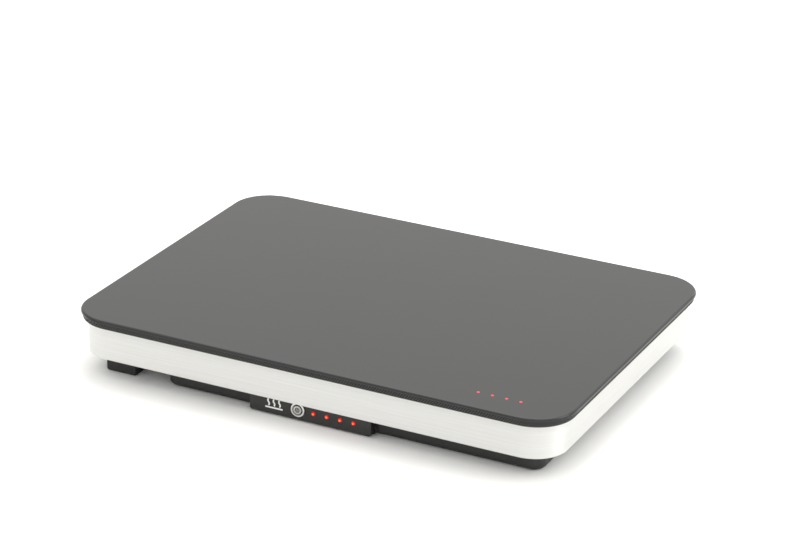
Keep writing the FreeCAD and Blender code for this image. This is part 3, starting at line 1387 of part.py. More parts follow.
def make_blower_lead():
    """Lead from the blower's front down to the power board."""
    bend, thick = size.lead_bend.value, size.lead_diameter.value
    x, y, z = blower_x.value, -size.blower_radius.value, cover_low.value - 2 * thick
    end_x = (board_left + size.part_edge_gap).value
    route = [Vector(x, y, z), Vector(x, y - 2 * bend, z), Vector(end_x, y - 2 * bend, z),
             Vector(end_x, y - 2 * bend, board_high.value)]
    shaped("blower_lead", tube(bent_wire(route, bend), thick))


# ---------------------------------------------------------------------------
# Cable gland: built about its own axis, with its place on the tub's rear wall as its origin
# ---------------------------------------------------------------------------
def at_gland(piece):
    move(piece, gland_x, tub_back, size.gland_z)


def make_gland():
    bore, nose = size.gland_bore / 2, size.gland_flange + size.gland_nose
    body = new_body("gland_body")
    pad(body, "XZ", 0, size.gland_flange, hexagon(as_size(0), as_size(0), size.gland_flats))
    pad(body, "XZ", -size.gland_tail, 0, circles([(0, 0)], size.gland_thread))
    pad(body, "XZ", size.gland_flange, nose, circles([(0, 0)], size.gland_nose_diameter))
    cut(body, "XZ", -size.gland_tail, nose, circles([(0, 0)], size.gland_bore))
    at_gland(body)

    body = new_body("gland_lock_nut")
    low, high = -size.tub_wall - size.gland_lock_nut_height, -size.tub_wall
    pad(body, "XZ", low, high, hexagon(as_size(0), as_size(0), size.gland_flats))
    cut(body, "XZ", low, high, circles([(0, 0)], size.gland_thread + size.thread_gap))
    at_gland(body)

    start = size.gland_flange + size.gland_dome_gap
    end, shoulder = start + size.gland_dome_length, nose + size.gland_dome_gap
    outer, thread = size.gland_flats / 2, (size.gland_nose_diameter + size.thread_gap) / 2
    body = turned("gland_dome_nut", "XY", [
        (thread, start), (outer, start), (outer, end), (bore, end), (bore, shoulder), (thread, shoulder),
    ])

    def outer_end(edge):
        return lies_at("Y", end)(edge) and edge.BoundBox.XMax > thread.value
    soften(body, "Fillet", size.gland_dome_radius, outer_end)
    pad(body, "XZ", start, start + size.gland_dome_flats, hexagon(as_size(0), as_size(0), size.gland_flats))
    cut(body, "XZ", start, start + size.gland_dome_flats, circles([(0, 0)], thread * 2))
    at_gland(body)


# ---------------------------------------------------------------------------
# The hob
# ---------------------------------------------------------------------------
make_glass()
make_glass_seal()
make_frame()
make_skirt()
make_skirt_screws()
make_base_pan()
make_tub()
make_tub_fasteners()
for place, centre in zip(("front", "rear"), foot_centres()):
    make_foot(f"foot_{place}_left", centre)
make_foot_fasteners()
make_control_box()
make_control_box_screws()
make_badge()
make_indicator_lamps()
make_control_board()
make_switch_bush()
make_switch_seal()
make_switch_nut()
make_power_button()
make_switch_spring()
make_switch_contacts()
make_zone_lamps()
make_deck()
make_deck_standoffs()
for name, side, posts in (("left", -1, left_posts), ("right", 1, right_posts)):
    make_coil(name, side, posts)
    make_carrier(name, side)
    make_ferrites(name, side)
    make_mica(name, side)
make_coil_supports()
make_power_board()
make_heat_sink()
make_chips()
make_capacitors()
make_choke()
make_terminal_block()
make_ribbon()
make_blower_housing()
make_blower_cover()
make_blower_motor()
make_blower_rotor()
make_blower_lead()
make_gland()
document.recompute()

for item in document.Objects:
    if "Invalid" in item.State or "Error" in item.State:
        raise RuntimeError(f"{item.Label} did not build: {item.State}")
for piece in pieces:
    if piece.Shape.isNull() or not piece.Shape.isValid():
        raise RuntimeError(f"{piece.Label} has no sound shape")

os.makedirs("parts", exist_ok=True)
for piece in pieces:
    piece.Shape.exportStep(f"parts/{piece.Label}.step")
print(f"{len(pieces)} pieces written")
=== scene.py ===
import math

import bpy
from mathutils import Matrix, Vector


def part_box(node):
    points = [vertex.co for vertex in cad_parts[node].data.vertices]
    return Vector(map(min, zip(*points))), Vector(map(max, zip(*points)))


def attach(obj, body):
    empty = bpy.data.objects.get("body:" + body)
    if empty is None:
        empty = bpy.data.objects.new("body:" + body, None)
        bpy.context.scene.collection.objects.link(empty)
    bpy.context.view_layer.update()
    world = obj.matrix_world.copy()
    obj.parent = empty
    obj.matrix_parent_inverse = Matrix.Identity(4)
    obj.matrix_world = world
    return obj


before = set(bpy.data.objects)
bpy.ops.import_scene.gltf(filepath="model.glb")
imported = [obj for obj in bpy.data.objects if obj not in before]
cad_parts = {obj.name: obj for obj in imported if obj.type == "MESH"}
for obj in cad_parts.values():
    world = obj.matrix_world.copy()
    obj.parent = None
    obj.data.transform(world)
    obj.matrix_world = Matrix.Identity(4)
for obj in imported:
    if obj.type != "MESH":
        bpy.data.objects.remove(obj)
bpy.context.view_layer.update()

# ---------------------------------------------------------------------------
# Studio: a plain white sweep under a dome of soft light, strongest overhead
# and a little stronger behind and to the right, with two large softboxes.
# The camera looks down at the front edge with a long lens.
# ---------------------------------------------------------------------------


def colour(code):
    """An sRGB hex colour, as the linear values that a shader takes."""
    shares = [int(code[i:i + 2], 16) / 255 for i in (1, 3, 5)]
    return [s / 12.92 if s <= 0.04045 else ((s + 0.055) / 1.055) ** 2.4 for s in shares] + [1.0]


def add(material, kind, settings=None, values=None, links=None):
    """Adds a node. Settings are options, values go to sockets, and links name a node and its output."""
    made = material.node_tree.nodes.new(kind)
    for option, choice in (settings or {}).items():
        setattr(made, option, choice)
    for socket, value in (values or {}).items():
        made.inputs[socket].default_value = value
    for socket, (source, output) in (links or {}).items():
        material.node_tree.links.new(source.outputs[output], made.inputs[socket])
    return made


def finish(name):
    """An empty material, and the node that gives a point's place on the object in metres."""
    material = bpy.data.materials.new(name)
    material.use_nodes = True
    material.node_tree.nodes.clear()
    return material, add(material, "ShaderNodeTexCoord")


def close(material, values, links):
    """Ends a material with its shader and output."""
    shader = add(material, "ShaderNodeBsdfPrincipled", None, values, links)
    add(material, "ShaderNodeOutputMaterial", None, None, {"Surface": (shader, "BSDF")})


def dress(material, *names):
    """Gives CAD pieces their finish."""
    for name in names:
        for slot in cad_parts[name].material_slots:
            slot.material = material


dome = bpy.data.worlds.new("softbox_dome")
dome.use_nodes = True
dome.node_tree.nodes.clear()
bpy.context.scene.world = dome
sky_way = add(dome, "ShaderNodeTexCoord")
sky_slope = add(dome, "ShaderNodeVectorMath", {"operation": "DOT_PRODUCT"}, {1: (0.15, 0.10, 0.70)},
                {0: (sky_way, "Generated")})
sky_power = add(dome, "ShaderNodeMath", {"operation": "ADD"}, {1: 0.93}, {0: (sky_slope, "Value")})
sky = add(dome, "ShaderNodeBackground", None, {"Color": colour("#fffefc")},
          {"Strength": (sky_power, "Value")})
add(dome, "ShaderNodeOutputWorld", None, None, {"Surface": (sky, "Background")})
bpy.context.scene.view_settings.view_transform = "Standard"

for name, place, watts, reach in (
    ("softbox_right", (2.2, 0.6, 1.7), 12, 1.6),
    ("softbox_above", (-0.3, 0.9, 2.4), 18, 2.0),
):
    lamp = bpy.data.lights.new(name, "AREA")
    lamp.energy, lamp.size = watts, reach
    softbox = bpy.data.objects.new(name, lamp)
    softbox.location = place
    softbox.rotation_euler = Vector(place).to_track_quat("Z", "Y").to_euler()
    bpy.context.collection.objects.link(softbox)

bpy.ops.object.select_all(action="DESELECT")
bpy.ops.mesh.primitive_plane_add(size=60, location=(0, 0, 0))
floor = bpy.context.object
floor.name = "studio_floor"
paper, paper_place = finish("matt_white_paper")
paper_pulp = add(paper, "ShaderNodeTexNoise", None, {"Scale": 3.0, "Detail": 2.0},
                 {"Vector": (paper_place, "Object")})
paper_tint = add(paper, "ShaderNodeMix", {"data_type": "RGBA"}, {6: colour("#f6f6f5"), 7: colour("#f9f9f8")},
                 {0: (paper_pulp, "Fac")})
close(paper, {"Roughness": 0.9, "Specular IOR Level": 0.1}, {"Base Color": (paper_tint, 2)})
floor.data.materials.append(paper)

turn, rise, tilt = math.radians(25.574), math.radians(22.832), math.radians(1.508)
backwards = Vector((math.sin(turn) * math.cos(rise), -math.cos(turn) * math.cos(rise), math.sin(rise)))
sideways = Vector((math.cos(turn), math.sin(turn), 0))
upwards = backwards.cross(sideways)
stance = Matrix((
    sideways * math.cos(tilt) + upwards * math.sin(tilt),
    upwards * math.cos(tilt) - sideways * math.sin(tilt),
    backwards,
)).transposed().to_4x4()
stance.translation = (1.3505, -2.8035, 1.4163)
lens = bpy.data.cameras.new("camera")
lens.lens, lens.sensor_width, lens.clip_end = 129.81, 36, 100
camera = bpy.data.objects.new("camera", lens)
camera.matrix_world = stance
bpy.context.collection.objects.link(camera)
bpy.context.scene.camera = camera

# ---------------------------------------------------------------------------
# Base pan: pressed from hot-dip galvanised steel sheet. The zinc freezes in
# spangles, so the sheet is clouded with duller and brighter patches.
# ---------------------------------------------------------------------------
MM = 0.001
spangle = 9 * MM


def drawn_metal(name, dark, light, smooth, rough, streaks, relief=0.0):
    """Bare or plated metal. The streaks are how many marks there are to a metre along X, Y and Z."""
    material, place = finish(name)
    stretched = add(material, "ShaderNodeMapping", None, {"Scale": streaks}, {"Vector": (place, "Object")})
    marks = add(material, "ShaderNodeTexNoise", None, {"Scale": 1.0, "Detail": 4.0, "Roughness": 0.6},
                {"Vector": (stretched, "Vector")})
    tint = add(material, "ShaderNodeMix", {"data_type": "RGBA"}, {6: colour(dark), 7: colour(light)},
               {0: (marks, "Fac")})
    haze = add(material, "ShaderNodeMapRange", None, {"From Min": 0.3, "From Max": 0.7, "To Min": smooth,
                                                      "To Max": rough}, {"Value": (marks, "Fac")})
    bump = add(material, "ShaderNodeBump", None, {"Strength": 0.3, "Distance": relief},
               {"Height": (marks, "Fac")})
    close(material, {"Metallic": 1.0}, {"Base Color": (tint, 2), "Roughness": (haze, "Result"),
                                        "Normal": (bump, "Normal")})
    return material


galvanised = drawn_metal("hot_dip_galvanised_steel", "#8c8f91", "#a9acae", 0.38, 0.52, (1 / spangle,) * 3)
dress(galvanised, "base_pan")

# ---------------------------------------------------------------------------
# Fasteners: steel screws, nuts and standoffs. Those outside are plated in
# black zinc, and those inside in bright zinc, cloudy from the plating bath.
# ---------------------------------------------------------------------------
plating_cloud = 2.5 * MM

plating = (1 / plating_cloud,) * 3
black_zinc = drawn_metal("black_zinc_plated_steel", "#18181a", "#2a2a2c", 0.30, 0.45, plating)
dress(black_zinc, "base_screws", "tub_screws")
bright_zinc = drawn_metal("bright_zinc_plated_steel", "#a9abab", "#cfd1d2", 0.22, 0.38, plating)
dress(bright_zinc, "foot_screws", "foot_nuts", "skirt_screws", "board_screws", "blower_screws",
      "control_box_screws", "deck_nuts", "deck_standoffs")

# ---------------------------------------------------------------------------
# Feet, pads and gaskets: black rubber. The feet are moulded in a blasted
# tool; the pads, bumpers and gasket are die-cut from sheet.
# ---------------------------------------------------------------------------
rubber_grain, rubber_cloud = 0.8 * MM, 14 * MM


def moulded(name, dark, light, smooth, rough, grain, cloud, relief):
    """An even skin: faint clouds where the melt has flowed, and a fine grain in its gloss and bump."""
    material, place = finish(name)
    flow = add(material, "ShaderNodeTexNoise", None, {"Scale": 1 / cloud, "Detail": 2.0},
               {"Vector": (place, "Object")})
    tooth = add(material, "ShaderNodeTexNoise", None, {"Scale": 1 / grain, "Detail": 2.0},
                {"Vector": (place, "Object")})
    tint = add(material, "ShaderNodeMix", {"data_type": "RGBA"}, {6: colour(dark), 7: colour(light)},
               {0: (flow, "Fac")})
    haze = add(material, "ShaderNodeMapRange", None, {"From Min": 0.3, "From Max": 0.7, "To Min": smooth,
                                                      "To Max": rough}, {"Value": (tooth, "Fac")})
    bump = add(material, "ShaderNodeBump", None, {"Strength": 0.4, "Distance": relief},
               {"Height": (tooth, "Fac")})
    close(material, None,
          {"Base Color": (tint, 2), "Roughness": (haze, "Result"), "Normal": (bump, "Normal")})
    return material


foot_rubber = moulded("moulded_black_rubber", "#1b1b1b", "#232322", 0.55, 0.75, rubber_grain, rubber_cloud,
                      0.05 * MM)
dress(foot_rubber, "foot_front_left", "foot_rear_left")
sheet_rubber = moulded("die_cut_silicone_rubber", "#202021", "#2a2a2b", 0.45, 0.6, rubber_grain, rubber_cloud,
                       0.02 * MM)
dress(sheet_rubber, "tub_pads", "coil_bumpers", "switch_seal")

# ---------------------------------------------------------------------------
# Tub and control box: injection-moulded ABS, black all through. The tools
# are spark-eroded, so the faces are even and satin, with soft highlights.
# ---------------------------------------------------------------------------
spark_grain, melt_cloud = 0.7 * MM, 40 * MM

black_abs = moulded("moulded_abs_spark_finish", "#1b1b1a", "#232322", 0.34, 0.48, spark_grain, melt_cloud,
                    0.03 * MM)
dress(black_abs, "electronics_tub", "control_box")

# ---------------------------------------------------------------------------
# Hotplate pictogram: white ink pad-printed on the control box. The ink lies
# a little thinner in places, so the black plastic greys it.
# ---------------------------------------------------------------------------
white_ink = moulded("white_pad_print", "#dcdcda", "#f2f2f0", 0.4, 0.55, 0.5 * MM, 2 * MM, 0.01 * MM)
dress(white_ink, "badge_mark")

# ---------------------------------------------------------------------------
# Power switch: bezel, nut and button turned from stainless bar, with fine
# rings from the tool. Light and shade are painted over the rings in bands
# round the switch's axis. From the middle out: a satin face round the mark,
# a ring with a painted highlight, a satin rim, painted shade in the gap and
# a painted highlight on the bezel.
# ---------------------------------------------------------------------------
ring_pitch = 0.55 * MM
# Painted light and shade: each band's colour is its brightness, with painted highlights on the ring and bezel
# and painted shade in the gap.
painted_light_bands = ((0, "#9b9b99"), (3.3 * MM, "#e4e4e2"), (4.3 * MM, "#a3a3a1"), (5.4 * MM, "#3c3c3b"),
         (6.4 * MM, "#f2f2f0"))
bezel_reach = 12 * MM
button_low, button_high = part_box("power_button")
switch_axis = (button_low + button_high) / 2

turned_steel, place = finish("turned_stainless_steel")
centred = add(turned_steel, "ShaderNodeMapping", {"vector_type": "POINT"},
              {"Location": (-switch_axis.x, 0, -switch_axis.z)}, {"Vector": (place, "Object")})
flat = add(turned_steel, "ShaderNodeVectorMath", {"operation": "MULTIPLY"}, {1: (1, 0, 1)},
           {0: (centred, "Vector")})
radius = add(turned_steel, "ShaderNodeVectorMath", {"operation": "LENGTH"}, None, {0: (flat, "Vector")})
phase = add(turned_steel, "ShaderNodeMath", {"operation": "MULTIPLY"}, {1: 2 * math.pi / ring_pitch},
            {0: (radius, "Value")})
rings = add(turned_steel, "ShaderNodeMath", {"operation": "SINE"}, None, {0: (phase, "Value")})
ring_tint = add(turned_steel, "ShaderNodeMapRange", None, {"From Min": -1.0, "To Min": 0.0, "To Max": 1.0},
                {"Value": (rings, "Value")})
band = add(turned_steel, "ShaderNodeMapRange", None, {"From Max": bezel_reach}, {"Value": (radius, "Value")})
painted_band_light = add(turned_steel, "ShaderNodeValToRGB", None, None, {"Fac": (band, "Result")})
painted_band_light.color_ramp.interpolation = "CONSTANT"
stops = painted_band_light.color_ramp.elements
stops.remove(stops[-1])
for inner, code in painted_light_bands:
    stop = stops[0] if inner == 0 else stops.new(inner / bezel_reach)
    stop.color = colour(code)
rings_with_painted_bands = add(turned_steel, "ShaderNodeMix", {"data_type": "RGBA", "blend_type": "MULTIPLY"},
                 {7: colour("#c4c4c2")}, {0: (ring_tint, "Result"), 6: (painted_band_light, "Color")})
ring_haze = add(turned_steel, "ShaderNodeMapRange", None, {"From Min": -1.0, "To Min": 0.16, "To Max": 0.28},
                {"Value": (rings, "Value")})
ring_bump = add(turned_steel, "ShaderNodeBump", None, {"Strength": 0.35, "Distance": 0.03 * MM},
                {"Height": (rings, "Value")})
close(turned_steel, {"Metallic": 1.0}, {"Base Color": (rings_with_painted_bands, 2), "Roughness": (ring_haze, "Result"),
                                        "Normal": (ring_bump, "Normal")})
dress(turned_steel, "switch_bush", "switch_nut", "power_button")

spring_wire = drawn_metal("drawn_spring_wire", "#8f8f8c", "#b9b9b5", 0.2, 0.34, (900, 900, 250))
dress(spring_wire, "switch_spring")

pbt = moulded("moulded_pbt_glass_filled", "#262729", "#323335", 0.45, 0.6, 0.6 * MM, 10 * MM, 0.03 * MM)
dress(pbt, "switch_contacts", "terminal_block", "blower_housing", "blower_cover")

# ---------------------------------------------------------------------------
# Standby mark: a broken ring and a bar, laser-etched dark into the middle of
# the button's face. Etching leaves it matt, and it moves with the button.
# ---------------------------------------------------------------------------
mark_radius, mark_line, mark_proud = 2.7 * MM, 0.55 * MM, 0.03 * MM
gap_half_angle = math.radians(30)
mark_front = button_low.y - mark_proud

bpy.ops.object.select_all(action="DESELECT")
bpy.ops.mesh.primitive_circle_add(vertices=72, radius=mark_radius, fill_type="NGON",
                                  location=(switch_axis.x, mark_front, switch_axis.z),
                                  rotation=(math.radians(90), 0, 0))
standby_mark = bpy.context.object
standby_mark.name = "standby_mark"
bpy.ops.object.mode_set(mode="EDIT")
bpy.ops.mesh.select_all(action="SELECT")
bpy.ops.mesh.inset(thickness=mark_line)
bpy.ops.mesh.delete(type="FACE")
bpy.ops.mesh.select_all(action="DESELECT")
bpy.ops.object.mode_set(mode="OBJECT")
bpy.ops.object.transform_apply(location=True, rotation=True, scale=True)
for face in standby_mark.data.polygons:
    across, up = face.center.x - switch_axis.x, face.center.z - switch_axis.z
    face.select = abs(math.atan2(across, up)) < gap_half_angle
bpy.ops.object.mode_set(mode="EDIT")
bpy.ops.mesh.select_mode(type="FACE")
bpy.ops.mesh.delete(type="FACE")
bpy.ops.object.mode_set(mode="OBJECT")
bar_middle, bar_length = switch_axis.z + mark_radius * 0.62, mark_radius * 0.86
bpy.ops.mesh.primitive_plane_add(size=1, location=(switch_axis.x, mark_front, bar_middle),
                                 rotation=(math.radians(90), 0, 0))
bar = bpy.context.object
bar.scale = (mark_line, bar_length, 1)
bpy.ops.object.transform_apply(location=True, rotation=True, scale=True)
standby_mark.select_set(True)
bpy.context.view_layer.objects.active = standby_mark
bpy.ops.object.join()
bpy.ops.object.modifier_add(type="SOLIDIFY")
standby_mark.modifiers[-1].thickness = mark_proud * 1.5
standby_mark.modifiers[-1].offset = -1
bpy.ops.object.modifier_apply(modifier=standby_mark.modifiers[-1].name)
etched = moulded("laser_etched_steel", "#1d1d1d", "#2b2b2b", 0.6, 0.8, 0.2 * MM, 1 * MM, 0.01 * MM)
standby_mark.data.materials.append(etched)
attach(standby_mark, "button")

# ---------------------------------------------------------------------------
# Lamps: red LEDs cast in clear red epoxy, lit. The chip makes the middle of
# each lens orange, and the rim stays deep red.
# ---------------------------------------------------------------------------
lamp_low, lamp_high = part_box("indicator_lamps")
lamp_flange = 5.8 * MM
lamp_count = 4


def from_nearest_lamp(material, place, first, pitch, flatten):
    """Each point's distance from the axis of the nearest lamp in a row along X; flatten drops the axis."""
    from_first = add(material, "ShaderNodeVectorMath", {"operation": "SUBTRACT"}, {1: first},
                     {0: (place, "Object")})
    split = add(material, "ShaderNodeSeparateXYZ", None, None, {0: (from_first, "Vector")})
    steps = add(material, "ShaderNodeMath", {"operation": "DIVIDE"}, {1: pitch}, {0: (split, "X")})
    whole = add(material, "ShaderNodeMath", {"operation": "ROUND"}, None, {0: (steps, "Value")})
    capped = add(material, "ShaderNodeClamp", None, {"Min": 0, "Max": lamp_count - 1},
                 {"Value": (whole, "Value")})
    shift = add(material, "ShaderNodeMath", {"operation": "MULTIPLY"}, {1: pitch}, {0: (capped, "Result")})
    lamp = add(material, "ShaderNodeCombineXYZ", None, None, {"X": (shift, "Value")})
    from_lamp = add(material, "ShaderNodeVectorMath", {"operation": "SUBTRACT"}, None,
                    {0: (from_first, "Vector"), 1: (lamp, "Vector")})
    flat = add(material, "ShaderNodeVectorMath", {"operation": "MULTIPLY"}, {1: flatten},
               {0: (from_lamp, "Vector")})
    return add(material, "ShaderNodeVectorMath", {"operation": "LENGTH"}, None, {0: (flat, "Vector")})


def lit_lens(name, first, pitch, core, rim, flatten):
    """A glowing lens: orange within the core, deep red from the rim outwards."""
    material, place = finish(name)
    away = from_nearest_lamp(material, place, first, pitch, flatten)
    glow = add(material, "ShaderNodeMapRange", {"interpolation_type": "SMOOTHSTEP"},
               {"From Min": core, "From Max": rim, "To Min": 1.0, "To Max": 0.0}, {"Value": (away, "Value")})
    light = add(material, "ShaderNodeMix", {"data_type": "RGBA"},
                {6: colour("#e00808"), 7: colour("#ff7a30")}, {0: (glow, "Result")})
    power = add(material, "ShaderNodeMapRange", None, {"To Min": 0.7, "To Max": 1.3},
                {"Value": (glow, "Result")})
    close(material, {"Base Color": colour("#a50d0a"), "Roughness": 0.12, "IOR": 1.54},
          {"Emission Color": (light, 2), "Emission Strength": (power, "Result")})
    return material


lamp_pitch = (lamp_high.x - lamp_low.x - lamp_flange) / (lamp_count - 1)
first_lamp = (lamp_low.x + lamp_flange / 2, 0, (lamp_low.z + lamp_high.z) / 2)
red_epoxy = lit_lens("lit_red_epoxy_lens", first_lamp, lamp_pitch, 0.5 * MM, 2.0 * MM, (1, 0, 1))
dress(red_epoxy, "indicator_lamps")

# ---------------------------------------------------------------------------
# Circuit boards: glass-epoxy laminate under green solder mask. The copper
# tracks below the mask show as slightly lighter lines.
# ---------------------------------------------------------------------------
track_pitch = 3.2 * MM

board_mask, place = finish("green_solder_mask_board")
tracks = add(board_mask, "ShaderNodeTexVoronoi", {"distance": "CHEBYCHEV", "feature": "F1"},
             {"Scale": 1 / track_pitch, "Randomness": 0.55}, {"Vector": (place, "Object")})
copper_edge = add(board_mask, "ShaderNodeMapRange", None, {"From Min": 0.32, "From Max": 0.36},
                  {"Value": (tracks, "Distance")})
mask_tint = add(board_mask, "ShaderNodeMix", {"data_type": "RGBA"},
                {6: colour("#0e4a24"), 7: colour("#1c6b37")}, {0: (copper_edge, "Result")})
mask_bump = add(board_mask, "ShaderNodeBump", None, {"Strength": 0.4, "Distance": 0.04 * MM},
                {"Height": (copper_edge, "Result")})
close(board_mask, {"Roughness": 0.3}, {"Base Color": (mask_tint, 2), "Normal": (mask_bump, "Normal")})
dress(board_mask, "control_board", "power_board", "zone_lamp_board")

# ---------------------------------------------------------------------------
# Ribbon cable: grey PVC over parallel wires, so it is ribbed along its run.
# A wave texture of scale 0.314 has one band to each unit of length.
# ---------------------------------------------------------------------------
wire_pitch = 1.27 * MM
wave_to_pitch = 0.314

ribbon, place = finish("ribbed_pvc_flat_cable")
ribs = add(ribbon, "ShaderNodeTexWave", {"wave_type": "BANDS", "bands_direction": "X"},
           {"Scale": wave_to_pitch / wire_pitch, "Distortion": 0.0}, {"Vector": (place, "Object")})
# Painted shade: the tint follows the ribs and is darker in the grooves between the wires.
rib_painted_shade = add(ribbon, "ShaderNodeMix", {"data_type": "RGBA"}, {6: colour("#8c8d8f"), 7: colour("#b4b5b6")},
               {0: (ribs, "Fac")})
rib_bump = add(ribbon, "ShaderNodeBump", None, {"Strength": 0.5, "Distance": 0.3 * MM},
               {"Height": (ribs, "Fac")})
close(ribbon, {"Roughness": 0.5}, {"Base Color": (rib_painted_shade, 2), "Normal": (rib_bump, "Normal")})
dress(ribbon, "control_cable")

# ---------------------------------------------------------------------------
# Power board: an extruded heat sink over moulded chips, film capacitors in
# epoxy-filled boxes, and a choke wound with enamelled copper.
# ---------------------------------------------------------------------------
extruded = drawn_metal("extruded_aluminium", "#a8a9ab", "#c9cacc", 0.3, 0.42, (12, 700, 700), 0.02 * MM)
dress(extruded, "heat_sink")
chip_epoxy = moulded("moulded_epoxy_package", "#161617", "#1f1f21", 0.5, 0.62, 0.4 * MM, 6 * MM, 0.02 * MM)
dress(chip_epoxy, "power_transistors", "rectifier")
capacitor_box = moulded("moulded_film_capacitor_box", "#b98812", "#c9971d", 0.3, 0.4, 0.8 * MM, 12 * MM,
                        0.02 * MM)
dress(capacitor_box, "filter_capacitors", "resonant_capacitors")

choke_low, choke_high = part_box("filter_choke")
choke_axis = (choke_low + choke_high) / 2
choke_turns = 44

wound, place = finish("enamelled_copper_winding")
about_choke = add(wound, "ShaderNodeMapping", None, {"Location": (-choke_axis.x, -choke_axis.y, 0)},
                  {"Vector": (place, "Object")})
bearing = add(wound, "ShaderNodeTexGradient", {"gradient_type": "RADIAL"}, None,
              {"Vector": (about_choke, "Vector")})
winding_phase = add(wound, "ShaderNodeMath", {"operation": "MULTIPLY"}, {1: 2 * math.pi * choke_turns},
                    {0: (bearing, "Fac")})
turns = add(wound, "ShaderNodeMath", {"operation": "SINE"}, None, {0: (winding_phase, "Value")})
wire_light = add(wound, "ShaderNodeMapRange", None, {"From Min": -1.0}, {"Value": (turns, "Value")})
# Painted light and shade: each turn is painted lighter on its crest and darker between turns.
turn_painted_light_and_shade = add(wound, "ShaderNodeMix", {"data_type": "RGBA"}, {6: colour("#5b2a10"), 7: colour("#c7713a")},
                {0: (wire_light, "Result")})
wire_bump = add(wound, "ShaderNodeBump", None, {"Strength": 0.6, "Distance": 0.4 * MM},
                {"Height": (turns, "Value")})
close(wound, {"Metallic": 0.9, "Roughness": 0.28},
      {"Base Color": (turn_painted_light_and_shade, 2), "Normal": (wire_bump, "Normal")})
dress(wound, "filter_choke")

# ---------------------------------------------------------------------------
# Blower: its wheel is moulded in grey polypropylene, its motor is a stack of
# stamped steel sheets, and its leads are sleeved in red PVC.
# ---------------------------------------------------------------------------
rotor_plastic = moulded("moulded_grey_polypropylene", "#4b4d50", "#57595c", 0.4, 0.52, 0.8 * MM, 20 * MM,
                        0.03 * MM)
dress(rotor_plastic, "blower_rotor")
laminations = drawn_metal("stamped_steel_laminations", "#68696b", "#9b9c9d", 0.35, 0.5, (40, 40, 1600),
                          0.1 * MM)
dress(laminations, "blower_motor")
red_sleeve = moulded("extruded_red_pvc_sleeve", "#8f1410", "#a81b15", 0.3, 0.42, 1 * MM, 8 * MM, 0.01 * MM)
dress(red_sleeve, "blower_lead")

# ---------------------------------------------------------------------------
# Cable gland: moulded black nylon, which has a slightly waxy sheen.
# ---------------------------------------------------------------------------
black_nylon = moulded("moulded_black_nylon", "#1f1f1f", "#282828", 0.38, 0.5, 0.6 * MM, 15 * MM, 0.02 * MM)
dress(black_nylon, "gland_body", "gland_lock_nut", "gland_dome_nut")

# ---------------------------------------------------------------------------
# Skirt: drawn from stainless sheet and brushed along its length with a 180
# grit belt. The real scratches are about 0.1 mm tall, and are drawn 0.5 mm
# tall so that they show as fine level streaks with a soft sheen across them.
# ---------------------------------------------------------------------------
scratch_height, scratch_length, streak_height = 0.5 * MM, 60 * MM, 1.8 * MM

brushed, place = finish("brushed_stainless_steel")
fine_way = add(brushed, "ShaderNodeMapping", None,
               {"Scale": (1 / scratch_length, 1 / scratch_length, 1 / scratch_height)},
               {"Vector": (place, "Object")})
scratches = add(brushed, "ShaderNodeTexNoise", None, {"Scale": 1.0, "Detail": 3.0, "Roughness": 0.65},
                {"Vector": (fine_way, "Vector")})
broad_way = add(brushed, "ShaderNodeMapping", None,
                {"Scale": (0.4 / scratch_length, 0.4 / scratch_length, 1 / streak_height)},
                {"Vector": (place, "Object")})
streaks = add(brushed, "ShaderNodeTexNoise", None, {"Scale": 1.0, "Detail": 2.0},
              {"Vector": (broad_way, "Vector")})
grain = add(brushed, "ShaderNodeMix", {"data_type": "FLOAT"}, {0: 0.4},
            {2: (scratches, "Fac"), 3: (streaks, "Fac")})
spread = add(brushed, "ShaderNodeMapRange", None, {"From Min": 0.35, "From Max": 0.65}, {"Value": (grain, 0)})
brushed_tint = add(brushed, "ShaderNodeMix", {"data_type": "RGBA"},
                   {6: colour("#dededc"), 7: colour("#e8e8e6")}, {0: (spread, "Result")})
brushed_haze = add(brushed, "ShaderNodeMapRange", None, {"To Min": 0.44, "To Max": 0.50},
                   {"Value": (spread, "Result")})
brushed_bump = add(brushed, "ShaderNodeBump", None, {"Strength": 0.15, "Distance": 0.02 * MM},
                   {"Height": (spread, "Result")})
grain_way = add(brushed, "ShaderNodeTangent", {"direction_type": "RADIAL", "axis": "Z"})
close(brushed, {"Metallic": 1.0, "Anisotropic": 0.9, "Anisotropic Rotation": 0.25},
      {"Base Color": (brushed_tint, 2), "Roughness": (brushed_haze, "Result"),
       "Normal": (brushed_bump, "Normal"), "Tangent": (grain_way, "Tangent")})
dress(brushed, "skirt")

# ---------------------------------------------------------------------------
# Top frame: moulded black nylon. A fine slanting knurl runs round its edge,
# to hide scuffs where the hob is carried.
# ---------------------------------------------------------------------------
knurl_pitch, knurl_slant = 3.3 * MM, 0.8

knurled, place = finish("moulded_black_nylon_knurled_edge")
knurl_turns = 2 * math.pi / knurl_pitch
along = add(knurled, "ShaderNodeVectorMath", {"operation": "DOT_PRODUCT"},
            {1: tuple(knurl_turns * way for way in (1, 1, -knurl_slant))}, {0: (place, "Object")})
knurl = add(knurled, "ShaderNodeMath", {"operation": "SINE"}, None, {0: (along, "Value")})
knurl_light = add(knurled, "ShaderNodeMapRange", None, {"From Min": -1.0}, {"Value": (knurl, "Value")})
